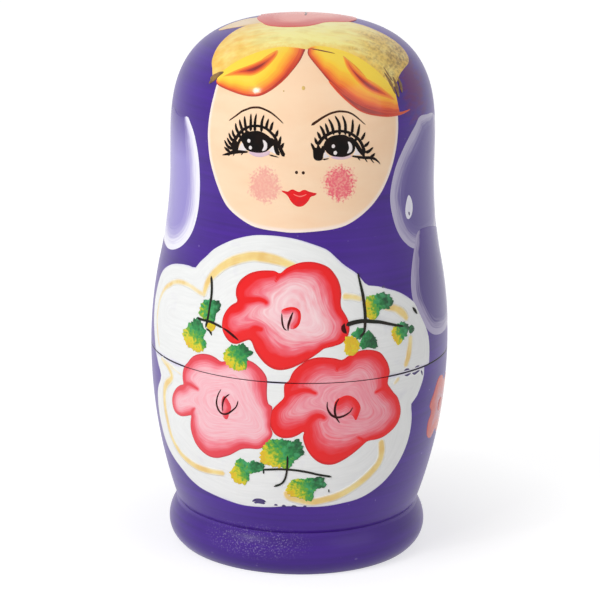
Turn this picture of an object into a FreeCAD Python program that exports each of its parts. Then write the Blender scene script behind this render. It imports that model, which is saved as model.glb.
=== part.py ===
"""A set of five turned wooden nesting dolls, closed one inside the other.

The four larger dolls are each two hollow shells of limewood. The bottom half has a flared foot, a bored-out body
and a thin collar that stands up past the seam. The top half has a socket that slides down over that collar until
the two rims meet, and a domed cavity for the next doll's head. The smallest doll is one solid piece. Each doll
stands on the flat floor inside the one round it.

All five are turned to one outline, so each doll is the one round it times a single ratio: that of the largest
doll which the cavity takes with its clearance.

Frame: +Z up, the dolls' common axis on Z, the face towards -Y, the origin at the middle of the outer doll's
underside. Millimetres.
"""

import FreeCAD
import Part
import bisect
import math
import os

V = FreeCAD.Vector

# ---------------------------------------------------------------- the outline of the outer doll
FOOT_HEIGHT = 9.0           # from the table to the groove above the foot
FOOT_RADIUS = 26.9          # the foot's widest ring
FOOT_WIDEST = 3.9           # height of that ring
BASE_RADIUS = 25.4          # the underside, out to its broken edge
BASE_EDGE = 0.4             # broken edge under the foot

LOWER_HEIGHT = 33.5         # from the groove to the seam
LIP_RADIUS = 25.2           # the lower body where it ends at the groove
GROOVE_DEPTH = 0.35         # how far the groove is cut in behind that lip
GROOVE_WIDTH = 0.2
BELLY_RADIUS = 30.8         # the widest ring, at the seam

SHOULDER_HEIGHT = 37.3      # from the seam up to the straight neck
NECK_HEIGHT = 4.9           # the straight neck
DOME_HEIGHT = 25.3          # from the neck to the crown
HEAD_RADIUS = 26.9
DOME_FULLNESS = 2.9         # 2 is an ellipse, and more is squarer

# ---------------------------------------------------------------- the walls, the collar and the hollow
SEAM_EDGE = 0.15            # broken edge of both rims, seen as the dark line round the belly
RIM_WALL = 2.7              # the top half, round its socket
COLLAR_WALL = 2.4
COLLAR_HEIGHT = 8.0         # how far the collar stands past the seam
COLLAR_LEAD = 0.6           # chamfer that leads the collar into its socket
SOCKET_RELIEF = 0.5         # the socket is this much deeper than the collar, so that the rims meet first

FLOOR_THICKNESS = 9.0       # wood under the hollow
FLOOR_ROUND = 1.5           # rounded corner of the floor
FOOT_WALL = 3.2             # least wood behind the groove
BORE_DEPTH = 12.0           # how far below the seam the bore stays straight
HEAD_WALL = 4.2             # wall of the neck
CROWN_THICKNESS = 10.0      # wood above the hollow

# ---------------------------------------------------------------- the set
DOLL_COUNT = 5              # four hollow dolls and a solid one
FIT_CLEARANCE = 0.06        # radial, between collar and socket, the same on every doll
NEST_GAP = 1.0              # least gap between the outer doll's hollow and the doll in it

# ---------------------------------------------------------------- what follows from them
SEAM = FOOT_HEIGHT + LOWER_HEIGHT
NECK = SEAM + SHOULDER_HEIGHT
DOME = NECK + NECK_HEIGHT
CROWN = DOME + DOME_HEIGHT

SOCKET_RADIUS = BELLY_RADIUS - RIM_WALL
BORE_RADIUS = SOCKET_RADIUS - FIT_CLEARANCE - COLLAR_WALL
FLOOR_RADIUS = LIP_RADIUS - GROOVE_DEPTH - FOOT_WALL
HOLLOW_HEAD_RADIUS = HEAD_RADIUS - HEAD_WALL
COLLAR_TOP = SEAM + COLLAR_HEIGHT
SOCKET_TOP = COLLAR_TOP + SOCKET_RELIEF
HOLLOW_CROWN = CROWN - CROWN_THICKNESS

DOME_POINTS = 10            # points of the dome's formula that its curve passes through
SAMPLES = 60                # points along each curve when the outline and the hollow are compared


def at(radius, height):
    """A point of a profile, on the XZ plane."""
    return V(radius, 0, height)


def path(*points):
    """Straight edges from each point to the next."""
    return [Part.LineSegment(start, end).toShape() for start, end in zip(points, points[1:])]


def upright_arc(upright, end):
    """An arc that leaves its first point straight up or down and passes through the second.

    The chord's angle from upright is half of what the arc turns through. Its middle is found half-way.
    """
    rise = end.z - upright.z
    inset = upright.x - end.x
    radius = (rise * rise + inset * inset) / (2 * inset)
    half_turn = math.atan2(abs(inset), abs(rise))
    middle = at(
        upright.x - radius * (1 - math.cos(half_turn)),
        upright.z + math.copysign(radius, rise) * math.sin(half_turn),
    )
    return Part.Arc(upright, middle, end).toShape()


def shoulders(low, high):
    """Two arcs from one upright wall to another, meeting half-way at the same slope."""
    middle = (low + high) * 0.5
    return [upright_arc(low, middle), upright_arc(high, middle)]


def dome(radius, bottom, top):
    """Upright at the bottom, level at the top: (r / radius)^n + (rise / height)^n = 1, n being the fullness."""
    power = 2 / DOME_FULLNESS
    turns = [math.pi / 2 * step / (DOME_POINTS - 1) for step in range(1, DOME_POINTS - 1)]
    points = [at(radius, bottom)]
    points += [
        at(radius * math.cos(turn) ** power, bottom + (top - bottom) * math.sin(turn) ** power)
        for turn in turns
    ]
    points.append(at(0, top))
    curve = Part.BSplineCurve()
    curve.interpolate(Points=points, InitialTangent=V(0, 0, 1), FinalTangent=V(-1, 0, 0))
    return curve.toShape()


def foot_outline():
    """From the middle of the underside to the groove."""
    widest = at(FOOT_RADIUS, FOOT_WIDEST)
    groove = at(LIP_RADIUS - GROOVE_DEPTH, FOOT_HEIGHT - GROOVE_WIDTH)
    edges = path(at(0, 0), at(BASE_RADIUS - BASE_EDGE, 0), at(BASE_RADIUS, BASE_EDGE))
    return edges + [upright_arc(widest, at(BASE_RADIUS, BASE_EDGE)), upright_arc(widest, groove)]


def lower_outline(top):
    """From the groove to the seam, where the side is upright."""
    lip = at(LIP_RADIUS, FOOT_HEIGHT)
    groove = at(LIP_RADIUS - GROOVE_DEPTH, FOOT_HEIGHT - GROOVE_WIDTH)
    return path(groove, lip) + [upright_arc(at(BELLY_RADIUS, top), lip)]


def upper_outline(bottom):
    """From the seam to the crown."""
    edges = shoulders(at(BELLY_RADIUS, bottom), at(HEAD_RADIUS, NECK))
    edges += path(at(HEAD_RADIUS, NECK), at(HEAD_RADIUS, DOME))
    return edges + [dome(HEAD_RADIUS, DOME, CROWN)]


def lower_hollow(bore_radius):
    """From the collar's top down the bore and the curved wall to the middle of the floor."""
    bore_end = at(bore_radius, SEAM - BORE_DEPTH)
    wall_end = at(FLOOR_RADIUS, FLOOR_THICKNESS + FLOOR_ROUND)
    floor_end = at(FLOOR_RADIUS - FLOOR_ROUND, FLOOR_THICKNESS)
    edges = path(at(bore_radius, COLLAR_TOP), bore_end)
    edges += [upright_arc(bore_end, wall_end), upright_arc(wall_end, floor_end)]
    return edges + path(floor_end, at(0, FLOOR_THICKNESS))


def upper_hollow():
    """From the socket's top up a straight taper and the neck to the middle of the hollow's crown."""
    neck = at(HOLLOW_HEAD_RADIUS, NECK)
    edges = path(at(BORE_RADIUS, SOCKET_TOP), neck, at(HOLLOW_HEAD_RADIUS, DOME))
    return edges + [dome(HOLLOW_HEAD_RADIUS, DOME, HOLLOW_CROWN)]


def sampled(edges):
    """Points along the edges."""
    return [point for edge in edges for point in edge.discretize(SAMPLES)]


def nest_ratio():
    """Size of the next doll as a share of the doll round it.

    A smaller doll has the same outline, drawn in towards the middle of its own underside. So each point of the
    hollow, brought in by the gap, is measured from the middle of the floor against the outline on the same ray,
    and the least share counts. The next doll's widest ring also has to pass the bore, and its crown the hollow's.
    """
    outline = sampled(foot_outline() + lower_outline(SEAM) + upper_outline(SEAM))
    rays = sorted((math.atan2(point.x, point.z), point.Length) for point in outline if point.Length > 0)
    directions = [ray[0] for ray in rays]
    ratios = [
        (BORE_RADIUS - NEST_GAP) / max(point.x for point in outline),
        (HOLLOW_CROWN - FLOOR_THICKNESS - NEST_GAP) / CROWN,
    ]
    for point in sampled(lower_hollow(BORE_RADIUS) + upper_hollow()):
        inside = at(point.x - NEST_GAP, point.z - FLOOR_THICKNESS)
        if inside.x <= 0 or inside.z <= 0:
            continue
        place = bisect.bisect(directions, math.atan2(inside.x, inside.z))
        near = rays[max(place - 1, 0):place + 1]
        ratios.append(inside.Length / max(reach for _, reach in near))
    return min(ratios)


def turned(edges):
    """The solid that a lathe makes of a closed profile."""
    face = Part.Face(Part.Wire(Part.__sortEdges__(edges)))
    return face.revolve(V(0, 0, 0), V(0, 0, 1), 360)


def bottom_half(fit):
    """The foot, the lower body and the collar. The fit is the clearance round the collar at this doll's size."""
    collar = SOCKET_RADIUS - fit
    bore = collar - COLLAR_WALL
    edges = foot_outline() + lower_outline(SEAM - SEAM_EDGE)
    edges += path(
        at(BELLY_RADIUS, SEAM - SEAM_EDGE),
        at(BELLY_RADIUS - SEAM_EDGE, SEAM),
        at(collar, SEAM),
        at(collar, COLLAR_TOP - COLLAR_LEAD),
        at(collar - COLLAR_LEAD, COLLAR_TOP),
        at(bore, COLLAR_TOP),
    )
    edges += lower_hollow(bore)
    return turned(edges + path(at(0, FLOOR_THICKNESS), at(0, 0)))


def top_half():
    """The socket, the shoulders and the head."""
    lead = COLLAR_LEAD / 2
    edges = upper_outline(SEAM + SEAM_EDGE)
    edges += path(
        at(BELLY_RADIUS, SEAM + SEAM_EDGE),
        at(BELLY_RADIUS - SEAM_EDGE, SEAM),
        at(SOCKET_RADIUS + lead, SEAM),
        at(SOCKET_RADIUS, SEAM + lead),
        at(SOCKET_RADIUS, SOCKET_TOP),
        at(BORE_RADIUS, SOCKET_TOP),
    )
    edges += upper_hollow()
    return turned(edges + path(at(0, HOLLOW_CROWN), at(0, CROWN)))


def solid_doll():
    """The smallest doll, one piece from foot to crown."""
    return turned(foot_outline() + lower_outline(SEAM) + upper_outline(SEAM) + path(at(0, CROWN), at(0, 0)))


def placed(solid, scale, floor_height):
    """A piece at its own doll's size, standing at its doll's height."""
    piece = solid.copy()
    piece.scale(scale)
    piece.translate(V(0, 0, floor_height))
    return piece


def nesting_set():
    """Every piece by its name, each doll standing on the floor of the one round it."""
    pieces = {}
    ratio = nest_ratio()
    scale = 1.0
    floor_height = 0.0
    for number in range(1, DOLL_COUNT):
        pieces["doll_%d_bottom" % number] = placed(bottom_half(FIT_CLEARANCE / scale), scale, floor_height)
        pieces["doll_%d_top" % number] = placed(top_half(), scale, floor_height)
        floor_height += scale * FLOOR_THICKNESS
        scale *= ratio
    pieces["doll_%d_solid" % DOLL_COUNT] = placed(solid_doll(), scale, floor_height)
    print("each doll is %.4f of the one round it" % ratio)
    return pieces


os.makedirs("parts", exist_ok=True)
for name, piece in nesting_set().items():
    piece.exportStep("parts/%s.step" % name)
    print("%-14s %9.1f mm3  valid %s" % (name, piece.Volume, piece.isValid()))
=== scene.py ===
"""Painted nesting doll set: violet coats on turned limewood, and the brushwork over them.

Every painted shape is drawn in millimetres on one of two flat charts of the outer doll, and then laid on a
doll of any size. The belt chart runs sideways round the doll from the middle of the front, at the chart's
radius, and upwards along the outline from the seam. The crown chart is the view from above, with distances
measured along the outline from the crown and the front towards -Y.
"""

import math

import bmesh
import bpy
import numpy as np
from bpy.props import FloatProperty, FloatVectorProperty, IntProperty, PointerProperty
from mathutils import Matrix, Vector


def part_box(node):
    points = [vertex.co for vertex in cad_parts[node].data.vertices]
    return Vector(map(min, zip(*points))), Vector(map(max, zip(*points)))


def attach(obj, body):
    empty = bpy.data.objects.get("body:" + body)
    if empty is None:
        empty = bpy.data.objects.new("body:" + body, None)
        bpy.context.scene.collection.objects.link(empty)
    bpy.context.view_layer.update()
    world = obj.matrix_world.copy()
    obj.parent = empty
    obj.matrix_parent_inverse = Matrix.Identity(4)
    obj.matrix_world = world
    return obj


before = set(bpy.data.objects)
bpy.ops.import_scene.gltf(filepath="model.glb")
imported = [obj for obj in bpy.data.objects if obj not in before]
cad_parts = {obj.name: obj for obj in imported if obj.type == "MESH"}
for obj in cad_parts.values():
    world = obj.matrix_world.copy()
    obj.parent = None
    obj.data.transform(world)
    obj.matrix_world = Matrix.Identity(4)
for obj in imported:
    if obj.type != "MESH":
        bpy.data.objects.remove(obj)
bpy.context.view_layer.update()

bl_info = {
    "name": "Painted Nesting Doll",
    "version": (1, 0, 0),
    "blender": (4, 5, 0),
    "location": "3D View > Sidebar > Nesting Doll",
    "description": "Coats, brushwork and stage of a painted nesting doll set",
    "category": "Object",
}

MM = 0.001
DOLL_COUNT = 5

# The outer doll's outline, in mm
FOOT_HEIGHT = 9.0
FOOT_RADIUS = 26.9
FOOT_WIDEST = 3.9
BASE_RADIUS = 25.4
BASE_EDGE = 0.4
LIP_RADIUS = 25.2
GROOVE_RADIUS = 24.85
GROOVE_TOP = 8.8
BELLY_RADIUS = 30.8
SEAM = 42.5
SEAM_EDGE = 0.15
NECK = 79.8
DOME = 84.7
CROWN = 110.0
HEAD_RADIUS = 26.9
DOME_FULLNESS = 2.9

# Paint, in mm: the coat and each layer over it, their undersides in the wood, and the rounding near an edge
COAT = 0.06
LAYER = 0.035
SUNK = -0.1
COAT_SUNK = -0.05
ROUNDED = 0.3
SEAM_GAP = 0.1              # what crosses the seam is cut this far from it on both sides
RIM_GAP = (0.012, 0.02)     # the coat's rim, from the seam, at the outside and at its inner end
RIM_REACH = 0.1             # how far that rim reaches in over the wood's broken edge

# Marks on the coat: the reach from the seam in mm of a dark band, painted shade in the gap with grime; the
# strength of the painted shade over the foot; and two patches as their middle and half size: a stain, round
# the doll and along the outline, and a painted highlight on the foot, round the doll and up from the table
SEAM_SHADE_AND_GRIME = 0.2
FOOT_PAINTED_SHADE = 0.13
STAIN = (31.5, 57.5), (7, 9)
# A painted highlight: pale specks on the foot's front
FOOT_HIGHLIGHT_PATCH = (-10, 7), (15, 4)

GLOSS = 0.1                 # shine of the paint itself
VARNISH = 0.58              # weight of the varnish over it, where a paint has no other
CHART_RADIUS = 30.0         # sideways on the belt chart is an azimuth times this, in mm
INNER_DETAIL = 1.7          # the inner dolls' brushwork is this much coarser on the charts
FEWER_STEPS = 0.35          # each doll inside has its steps round divided by this much more

# Lamps as their place in metres and the side of their square, and the point that they face
KEY_LAMP = (-0.62, -0.55, 0.62), 0.55
SPARK_LAMP = (-0.565, -0.529, 0.581), 0.08
FILL_LAMP = (0.7, -0.5, 0.4), 0.6
AIM = (0, 0, CROWN * MM / 2)

# The table: radii of its rings in metres, its colour and glow, the two distances from the axis in mm between
# which the glow's share rises, and that share near the doll and away from it
TABLE_RINGS = (0.1, 0.3, 1.0, 4.0, 12.0)
TABLE_WHITE = 0.92
TABLE_GLOW = 1.5
SHADOW_REACH = (32, 70)
GLOW_SHARE = (0.42, 0.55)


def display(*rgb):
    """Linear colour of an 8-bit display colour."""
    part = np.array(rgb) / 255
    part = np.where(part <= 0.04045, part / 12.92, ((part + 0.055) / 1.055) ** 2.4)
    return tuple(float(value) for value in part)


# ------------------------------------------------------------------------------------------------- the dolls


def find_dolls():
    """Each doll's number, bodies, size beside the outer doll and floor, read from the CAD nodes' boxes."""
    dolls = []
    for number in range(1, DOLL_COUNT + 1):
        bottom, top = f"doll_{number}_bottom", f"doll_{number}_top"
        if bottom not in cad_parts:
            bottom = top = f"doll_{number}_solid"
        floor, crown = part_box(bottom)[0].z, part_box(top)[1].z
        size = (crown - floor) / (CROWN * MM)
        dolls.append({"number": number, "bottom": bottom, "top": top, "size": size, "floor": floor})
    return dolls


def upright_arc(upright, end, count):
    """Arc that is upright at its first point, at its centre's height: r = c + R cos a, z = z0 + R sin a."""
    (r0, z0), (r1, z1) = upright, end
    centre = (r0 ** 2 - r1 ** 2 - (z1 - z0) ** 2) / (2 * (r0 - r1))
    z = np.linspace(z0, z1, count)
    reach = abs(r0 - centre)
    return np.stack([centre + math.copysign(1, r0 - centre) * np.sqrt(reach ** 2 - (z - z0) ** 2), z], 1)


def outline_points():
    """The outline from the underside's edge to the crown, finely stepped, as rows of radius and height."""
    groove, lip = (GROOVE_RADIUS, GROOVE_TOP), (LIP_RADIUS, FOOT_HEIGHT)
    middle = ((BELLY_RADIUS + HEAD_RADIUS) / 2, (SEAM + NECK) / 2)
    turn = np.linspace(0, math.pi / 2, 1500)
    dome = np.stack([
        HEAD_RADIUS * np.clip(np.cos(turn), 0, 1) ** (2 / DOME_FULLNESS),
        DOME + (CROWN - DOME) * np.sin(turn) ** (2 / DOME_FULLNESS),
    ], 1)
    dome[-1, 0] = 0
    return np.concatenate([
        np.linspace((BASE_RADIUS - BASE_EDGE, 0), (BASE_RADIUS, BASE_EDGE), 5)[:-1],
        upright_arc((FOOT_RADIUS, FOOT_WIDEST), (BASE_RADIUS, BASE_EDGE), 60)[::-1][:-1],
        upright_arc((FOOT_RADIUS, FOOT_WIDEST), groove, 80)[:-1],
        np.linspace(groove, lip, 4)[:-1],
        upright_arc((BELLY_RADIUS, SEAM), lip, 400)[::-1][:-1],
        upright_arc((BELLY_RADIUS, SEAM), middle, 300)[:-1],
        upright_arc((HEAD_RADIUS, NECK), middle, 300)[::-1][:-1],
        np.linspace((HEAD_RADIUS, NECK), (HEAD_RADIUS, DOME), 60)[:-1],
        dome,
    ])


OUTLINE = outline_points()
STEPS = np.concatenate([[0], np.cumsum(np.linalg.norm(np.diff(OUTLINE, axis=0), axis=1))])
SEAM_STEP = STEPS[np.argmin(np.abs(OUTLINE[:, 1] - SEAM))]
ALONG = STEPS - SEAM_STEP
SLOPE = np.gradient(OUTLINE, ALONG, axis=0)
SLOPE /= np.linalg.norm(SLOPE, axis=1)[:, None]
CROWN_ALONG = ALONG[-1]
FOOT_ALONG = ALONG[0]


def on_outline(along, height):
    """Radius and height of points that stand a height above the outline, along its normal."""
    radius = np.interp(along, ALONG, OUTLINE[:, 0]) + height * np.interp(along, ALONG, SLOPE[:, 1])
    level = np.interp(along, ALONG, OUTLINE[:, 1]) - height * np.interp(along, ALONG, SLOPE[:, 0])
    return radius, level


def lay(doll, sheet):
    """Belt chart points (x, along, height) on a doll: azimuth x / chart radius, from -Y towards +X."""
    turn = sheet[:, 0] / CHART_RADIUS
    radius, level = on_outline(sheet[:, 1], sheet[:, 2])
    space = np.stack([radius * np.sin(turn), -radius * np.cos(turn), level], 1)
    space *= MM * doll["size"]
    space[:, 2] += doll["floor"]
    return space


def belt_from_crown(points):
    """Crown chart points on the belt chart."""
    turn = np.arctan2(points[:, 0], -points[:, 1])
    return np.stack([turn * CHART_RADIUS, CROWN_ALONG - np.hypot(points[:, 0], points[:, 1])], 1)


# -------------------------------------------------------------------------------------------------- surfaces


def pairs(*numbers):
    """A flat run of numbers as rows of two."""
    return np.array(numbers, float).reshape(-1, 2)


def smooth(points, spacing, closed=False):
    """Curve through the points in even steps: cubic runs, with end slopes from their neighbours' chords."""
    points = np.asarray(points, float)
    if closed:
        ring = np.concatenate([points[-1:], points, points[:2]])
    else:
        ring = np.concatenate([2 * points[:1] - points[1:2], points, 2 * points[-1:] - points[-2:-1]])
    a, b, c, d = ring[:-3], ring[1:-2], ring[2:-1], ring[3:]
    t = np.linspace(0, 1, 9)[:-1, None, None]
    square, cube = 2 * a - 5 * b + 4 * c - d, 3 * b - a - 3 * c + d
    curve = 0.5 * (2 * b + (c - a) * t + square * t ** 2 + cube * t ** 3)
    curve = np.concatenate([curve.transpose(1, 0, 2).reshape(-1, 2), points[:1] if closed else points[-1:]])
    run = np.concatenate([[0], np.cumsum(np.linalg.norm(np.diff(curve, axis=0), axis=1))])
    count = max(12 if closed else 4, round(run[-1] / spacing))
    even = np.linspace(0, run[-1], count + 1)
    curve = np.stack([np.interp(even, run, curve[:, 0]), np.interp(even, run, curve[:, 1])], 1)
    return curve[:-1] if closed else curve


def cornered(points):
    """The points and a straight run back in steps of 2 mm, with both its ends doubled to keep them sharp."""
    steps = round(np.linalg.norm(points[0] - points[-1]) / 2)
    closing = np.linspace(points[-1], points[0], steps + 2)[1:-1]
    return np.concatenate([points[:1], points, points[-1:], closing])


def crown_from_belt(points):
    """Belt chart points on the crown chart."""
    turn = points[:, 0] / CHART_RADIUS
    return (CROWN_ALONG - points[:, 1:]) * np.stack([np.sin(turn), -np.cos(turn)], 1)


def apart(points, line):
    """Distance from each point to each straight run of a line."""
    start, run = line[:-1], np.diff(line, axis=0)
    length = np.maximum((run ** 2).sum(1), 1e-12)
    share = np.clip(((points[:, None] - start) * run).sum(2) / length, 0, 1)
    return np.sqrt((((start + share[..., None] * run) - points[:, None]) ** 2).sum(2))


def distance(points, line, width=1.0):
    """Least distance to a line, each run's counted in units of its own width."""
    return (apart(points, line) / width).min(1)


def soft_distance(points, line, width=1.0):
    """Distance to a line, evened out where several runs are near: (sum of (d/w)^-6 run/w / whole)^(-1/5).

    `whole`, which is 3 pi / 8 rounded, makes it the distance itself beside a long straight line.
    """
    whole = 1.178
    near = np.maximum(apart(points, line) / width, 0.02)
    length = np.linalg.norm(np.diff(line, axis=0), axis=1)
    return ((near ** -6 * length / width).sum(1) / whole) ** -0.2


def noted_width(line, notes):
    """Width of each run of a line: the mean of widths noted as (x, y, width), weighted by 1 / distance^4."""
    middle = (line[1:] + line[:-1]) / 2
    weight = 1 / (((middle[:, None] - notes[:, :2]) ** 2).sum(2) ** 2 + 0.01)
    return (weight * notes[:, 2]).sum(1) / weight.sum(1)


def quads_between(rings, columns, first, wrap=False):
    """Faces between each ring of points and the next, facing out where the first ring is the innermost."""
    i, j = np.meshgrid(np.arange(rings if wrap else rings - 1), np.arange(columns), indexing="ij")
    near, far, nxt = first + i * columns, first + (i + 1) % rings * columns, (j + 1) % columns
    return np.stack([near + j, far + j, far + nxt, near + nxt], -1).reshape(-1, 4)


def capped(rings, columns):
    """Quads and fans of rings of points between a first and a last point, which are rows 0 and -1."""
    ring = np.arange(columns)
    nxt = (ring + 1) % columns
    last = 1 + (rings - 1) * columns
    end = 1 + rings * columns
    fans = np.concatenate([
        np.stack([np.zeros_like(ring), 1 + ring, 1 + nxt], 1),
        np.stack([np.full_like(ring, end), last + nxt, last + ring], 1),
    ])
    return quads_between(rings, columns, 1), fans


def film(outline, centre, level, chart="belt", detail=1.0, spacing=0.9, lines=None, thick=1.0, **marks):
    """Closed film of paint on the chart: point (s, t) = centre + s (edge(t) - centre), rounded near its edge.

    Its height is the coat, `level` layers and a quarter circle's rise over the last part before the edge. It
    carries the distance from its edge, or from `lines` where the colour follows other lines.
    """
    edge = smooth(outline, spacing * detail, closed=True)
    centre = np.array(centre, float)
    turned = np.roll(edge, -1, axis=0)
    if (edge[:, 0] * turned[:, 1] - turned[:, 0] * edge[:, 1]).sum() < 0:
        edge = edge[::-1]
    reach = np.linalg.norm(edge - centre, axis=1).max()
    soft = min(ROUNDED, 0.4 * reach)
    rows = max(3, math.ceil(reach / (spacing * detail)))
    top = np.append(np.linspace(0, 1 - soft / reach, rows + 1)[1:], [1 - 0.3 * soft / reach, 1])
    under = np.linspace(1, 0, max(3, rows // 3) + 1)[:-1]
    spread = np.concatenate([top, under])[:, None, None] * (edge - centre) + centre
    flat = np.concatenate([centre[None], spread.reshape(-1, 2), centre[None]])
    loop = np.concatenate([edge, edge[:1]])
    from_edge = distance(flat, loop)
    rise = np.sqrt(1 - (1 - np.clip(from_edge / soft, 0, 1)) ** 2)
    height = COAT + LAYER * (level - 1) + LAYER * thick * rise
    height[1 + len(top) * len(edge):] = SUNK
    if lines is not None:
        from_edge = lines(flat, from_edge)
    values = {"edge": from_edge}
    for name, value in marks.items():
        values[name] = value(flat) if callable(value) else np.full(len(flat), float(value))
    if chart == "crown":
        flat = belt_from_crown(flat)
    return np.column_stack([flat, height]), capped(len(top) + len(under), len(edge)), values


def stroke(points, width, level, chart="belt", detail=1.0, spacing=0.5, thick=1.0, **marks):
    """Closed brush stroke: a low dome, height (1 - a^2), carried along a smooth path and round at both ends.

    `width` is one number or several that are spread evenly along the path.
    """
    path = smooth(points, spacing * detail)
    run = np.concatenate([[0], np.cumsum(np.linalg.norm(np.diff(path, axis=0), axis=1))])
    width = np.atleast_1d(np.asarray(width, float))
    half = np.interp(run / run[-1], np.linspace(0, 1, len(width)), width) / 2
    to_end = np.minimum(run, run[-1] - run) / np.maximum(half, 0.05)
    half *= np.maximum(np.sqrt(1 - (1 - np.clip(to_end, 0, 1)) ** 2), 0.12)
    ahead = np.gradient(path, axis=0)
    ahead /= np.maximum(np.linalg.norm(ahead, axis=1), 1e-9)[:, None]
    left = np.stack([-ahead[:, 1], ahead[:, 0]], 1)
    across = np.array([-1, -0.72, -0.3, 0.3, 0.72, 1, 1, -1])
    flat = (path[:, None] + left[:, None] * (half[:, None] * across)[..., None]).reshape(-1, 2)
    dome = 1 - across ** 2
    height = np.tile(COAT + LAYER * (level - 1) + LAYER * thick * dome, (len(path), 1))
    height[:, -2:] = SUNK
    columns = len(across)
    end = np.array([[0, 5, 6, 7], [0, 1, 4, 5], [1, 2, 3, 4]])
    quads = [quads_between(len(path), columns, 0), end, end[:, ::-1] + (len(path) - 1) * columns]
    faces = np.concatenate(quads), np.zeros((0, 3), int)
    values = {"edge": (half[:, None] * (1 - np.abs(across))).reshape(-1)}
    for name, value in marks.items():
        values[name] = value(flat) if callable(value) else np.full(len(flat), float(value))
    if chart == "crown":
        flat = belt_from_crown(flat)
    return np.column_stack([flat, height.reshape(-1)]), faces, values


def strokes(lines, level, detail, spacing=0.5, chart="belt"):
    """A brush stroke for each line and width."""
    return [stroke(line, width, level, chart, detail, spacing) for line, width in lines]


def dot(x, along, radius, level, detail):
    """A round dab of paint."""
    turn = np.linspace(0, 2 * math.pi, 13)[:-1]
    ring = np.stack([x + radius * np.cos(turn), along + radius * np.sin(turn)], 1)
    return film(ring, (x, along), level, detail=detail, spacing=radius / 2)


def lathe(profile, columns):
    """Surface of revolution of a profile of radii and heights: (r, z) at each azimuth.

    A profile that starts and ends on the axis is closed by a point at each end, and any other into a ring.
    """
    turn = np.linspace(0, 2 * math.pi, columns, endpoint=False)
    on_axis = profile[0, 0] == 0 and profile[-1, 0] == 0
    rings = profile[1:-1] if on_axis else profile
    points = np.stack([
        rings[:, :1] * np.sin(turn),
        -rings[:, :1] * np.cos(turn),
        np.repeat(rings[:, 1:], columns, axis=1),
    ], -1).reshape(-1, 3)
    if not on_axis:
        return points, (quads_between(len(rings), columns, 0, wrap=True), np.zeros((0, 3), int))
    ends = [[0, 0, profile[0, 1]]], [[0, 0, profile[-1, 1]]]
    return np.concatenate([ends[0], points, ends[1]]), capped(len(rings), columns)


def add_piece(name, parts, material, body, values=("edge",)):
    """One Blender object from parts of points in metres, faces and values, riding on a body."""
    points, quads, fans, first = [], [], [], 0
    gathered = {key: [] for key in values}
    for part_points, (part_quads, part_fans), part_values in parts:
        points.append(part_points)
        quads.append(part_quads + first)
        fans.append(part_fans + first)
        for key in values:
            gathered[key].append(part_values.get(key, np.zeros(len(part_points))))
        first += len(part_points)
    mesh = bpy.data.meshes.new(name)
    faces = np.concatenate(quads).tolist() + np.concatenate(fans).tolist()
    mesh.from_pydata(np.concatenate(points).tolist(), [], faces)
    for key in values:
        layer = mesh.attributes.new(key, "FLOAT", "POINT")
        layer.data.foreach_set("value", np.concatenate(gathered[key]).astype(np.float32))
    mesh.shade_smooth()
    mesh.materials.append(material)
    piece = bpy.data.objects.new(name, mesh)
    bpy.context.scene.collection.objects.link(piece)
    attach(piece, body)
    return piece


def cut_level(piece, height, above):
    """Keep what lies above or below a level plane, and close the cut."""
    work = bmesh.new()
    work.from_mesh(piece.data)
    facing = (0, 0, 1 if above else -1)
    bmesh.ops.bisect_plane(
        work, geom=work.verts[:] + work.edges[:] + work.faces[:], dist=1e-8,
        plane_co=(0, 0, height), plane_no=facing, clear_inner=True,
    )
    bmesh.ops.holes_fill(work, edges=[edge for edge in work.edges if edge.is_boundary], sides=0)
    bmesh.ops.triangulate(work, faces=[face for face in work.faces if len(face.verts) > 4])
    work.to_mesh(piece.data)
    work.free()


def paint(doll, name, parts, material, half, values=("edge",)):
    """Lay parts on a doll. What crosses the seam becomes one piece on each half, cut just clear of it."""
    laid = [(lay(doll, sheet), faces, marks) for sheet, faces, marks in parts]
    prefix = f"doll_{doll['number']}_{name}"
    if half != "both" or doll["top"] == doll["bottom"]:
        add_piece(prefix, laid, material, doll["top" if half == "both" else half], values)
        return
    for side, above in (("top", True), ("bottom", False)):
        piece = add_piece(f"{prefix}_{side}", laid, material, doll[side], values)
        level = SEAM + (SEAM_GAP if above else -SEAM_GAP)
        cut_level(piece, doll["floor"] + level * MM * doll["size"], above)


# -------------------------------------------------------------------------------------------------- finishes


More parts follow.
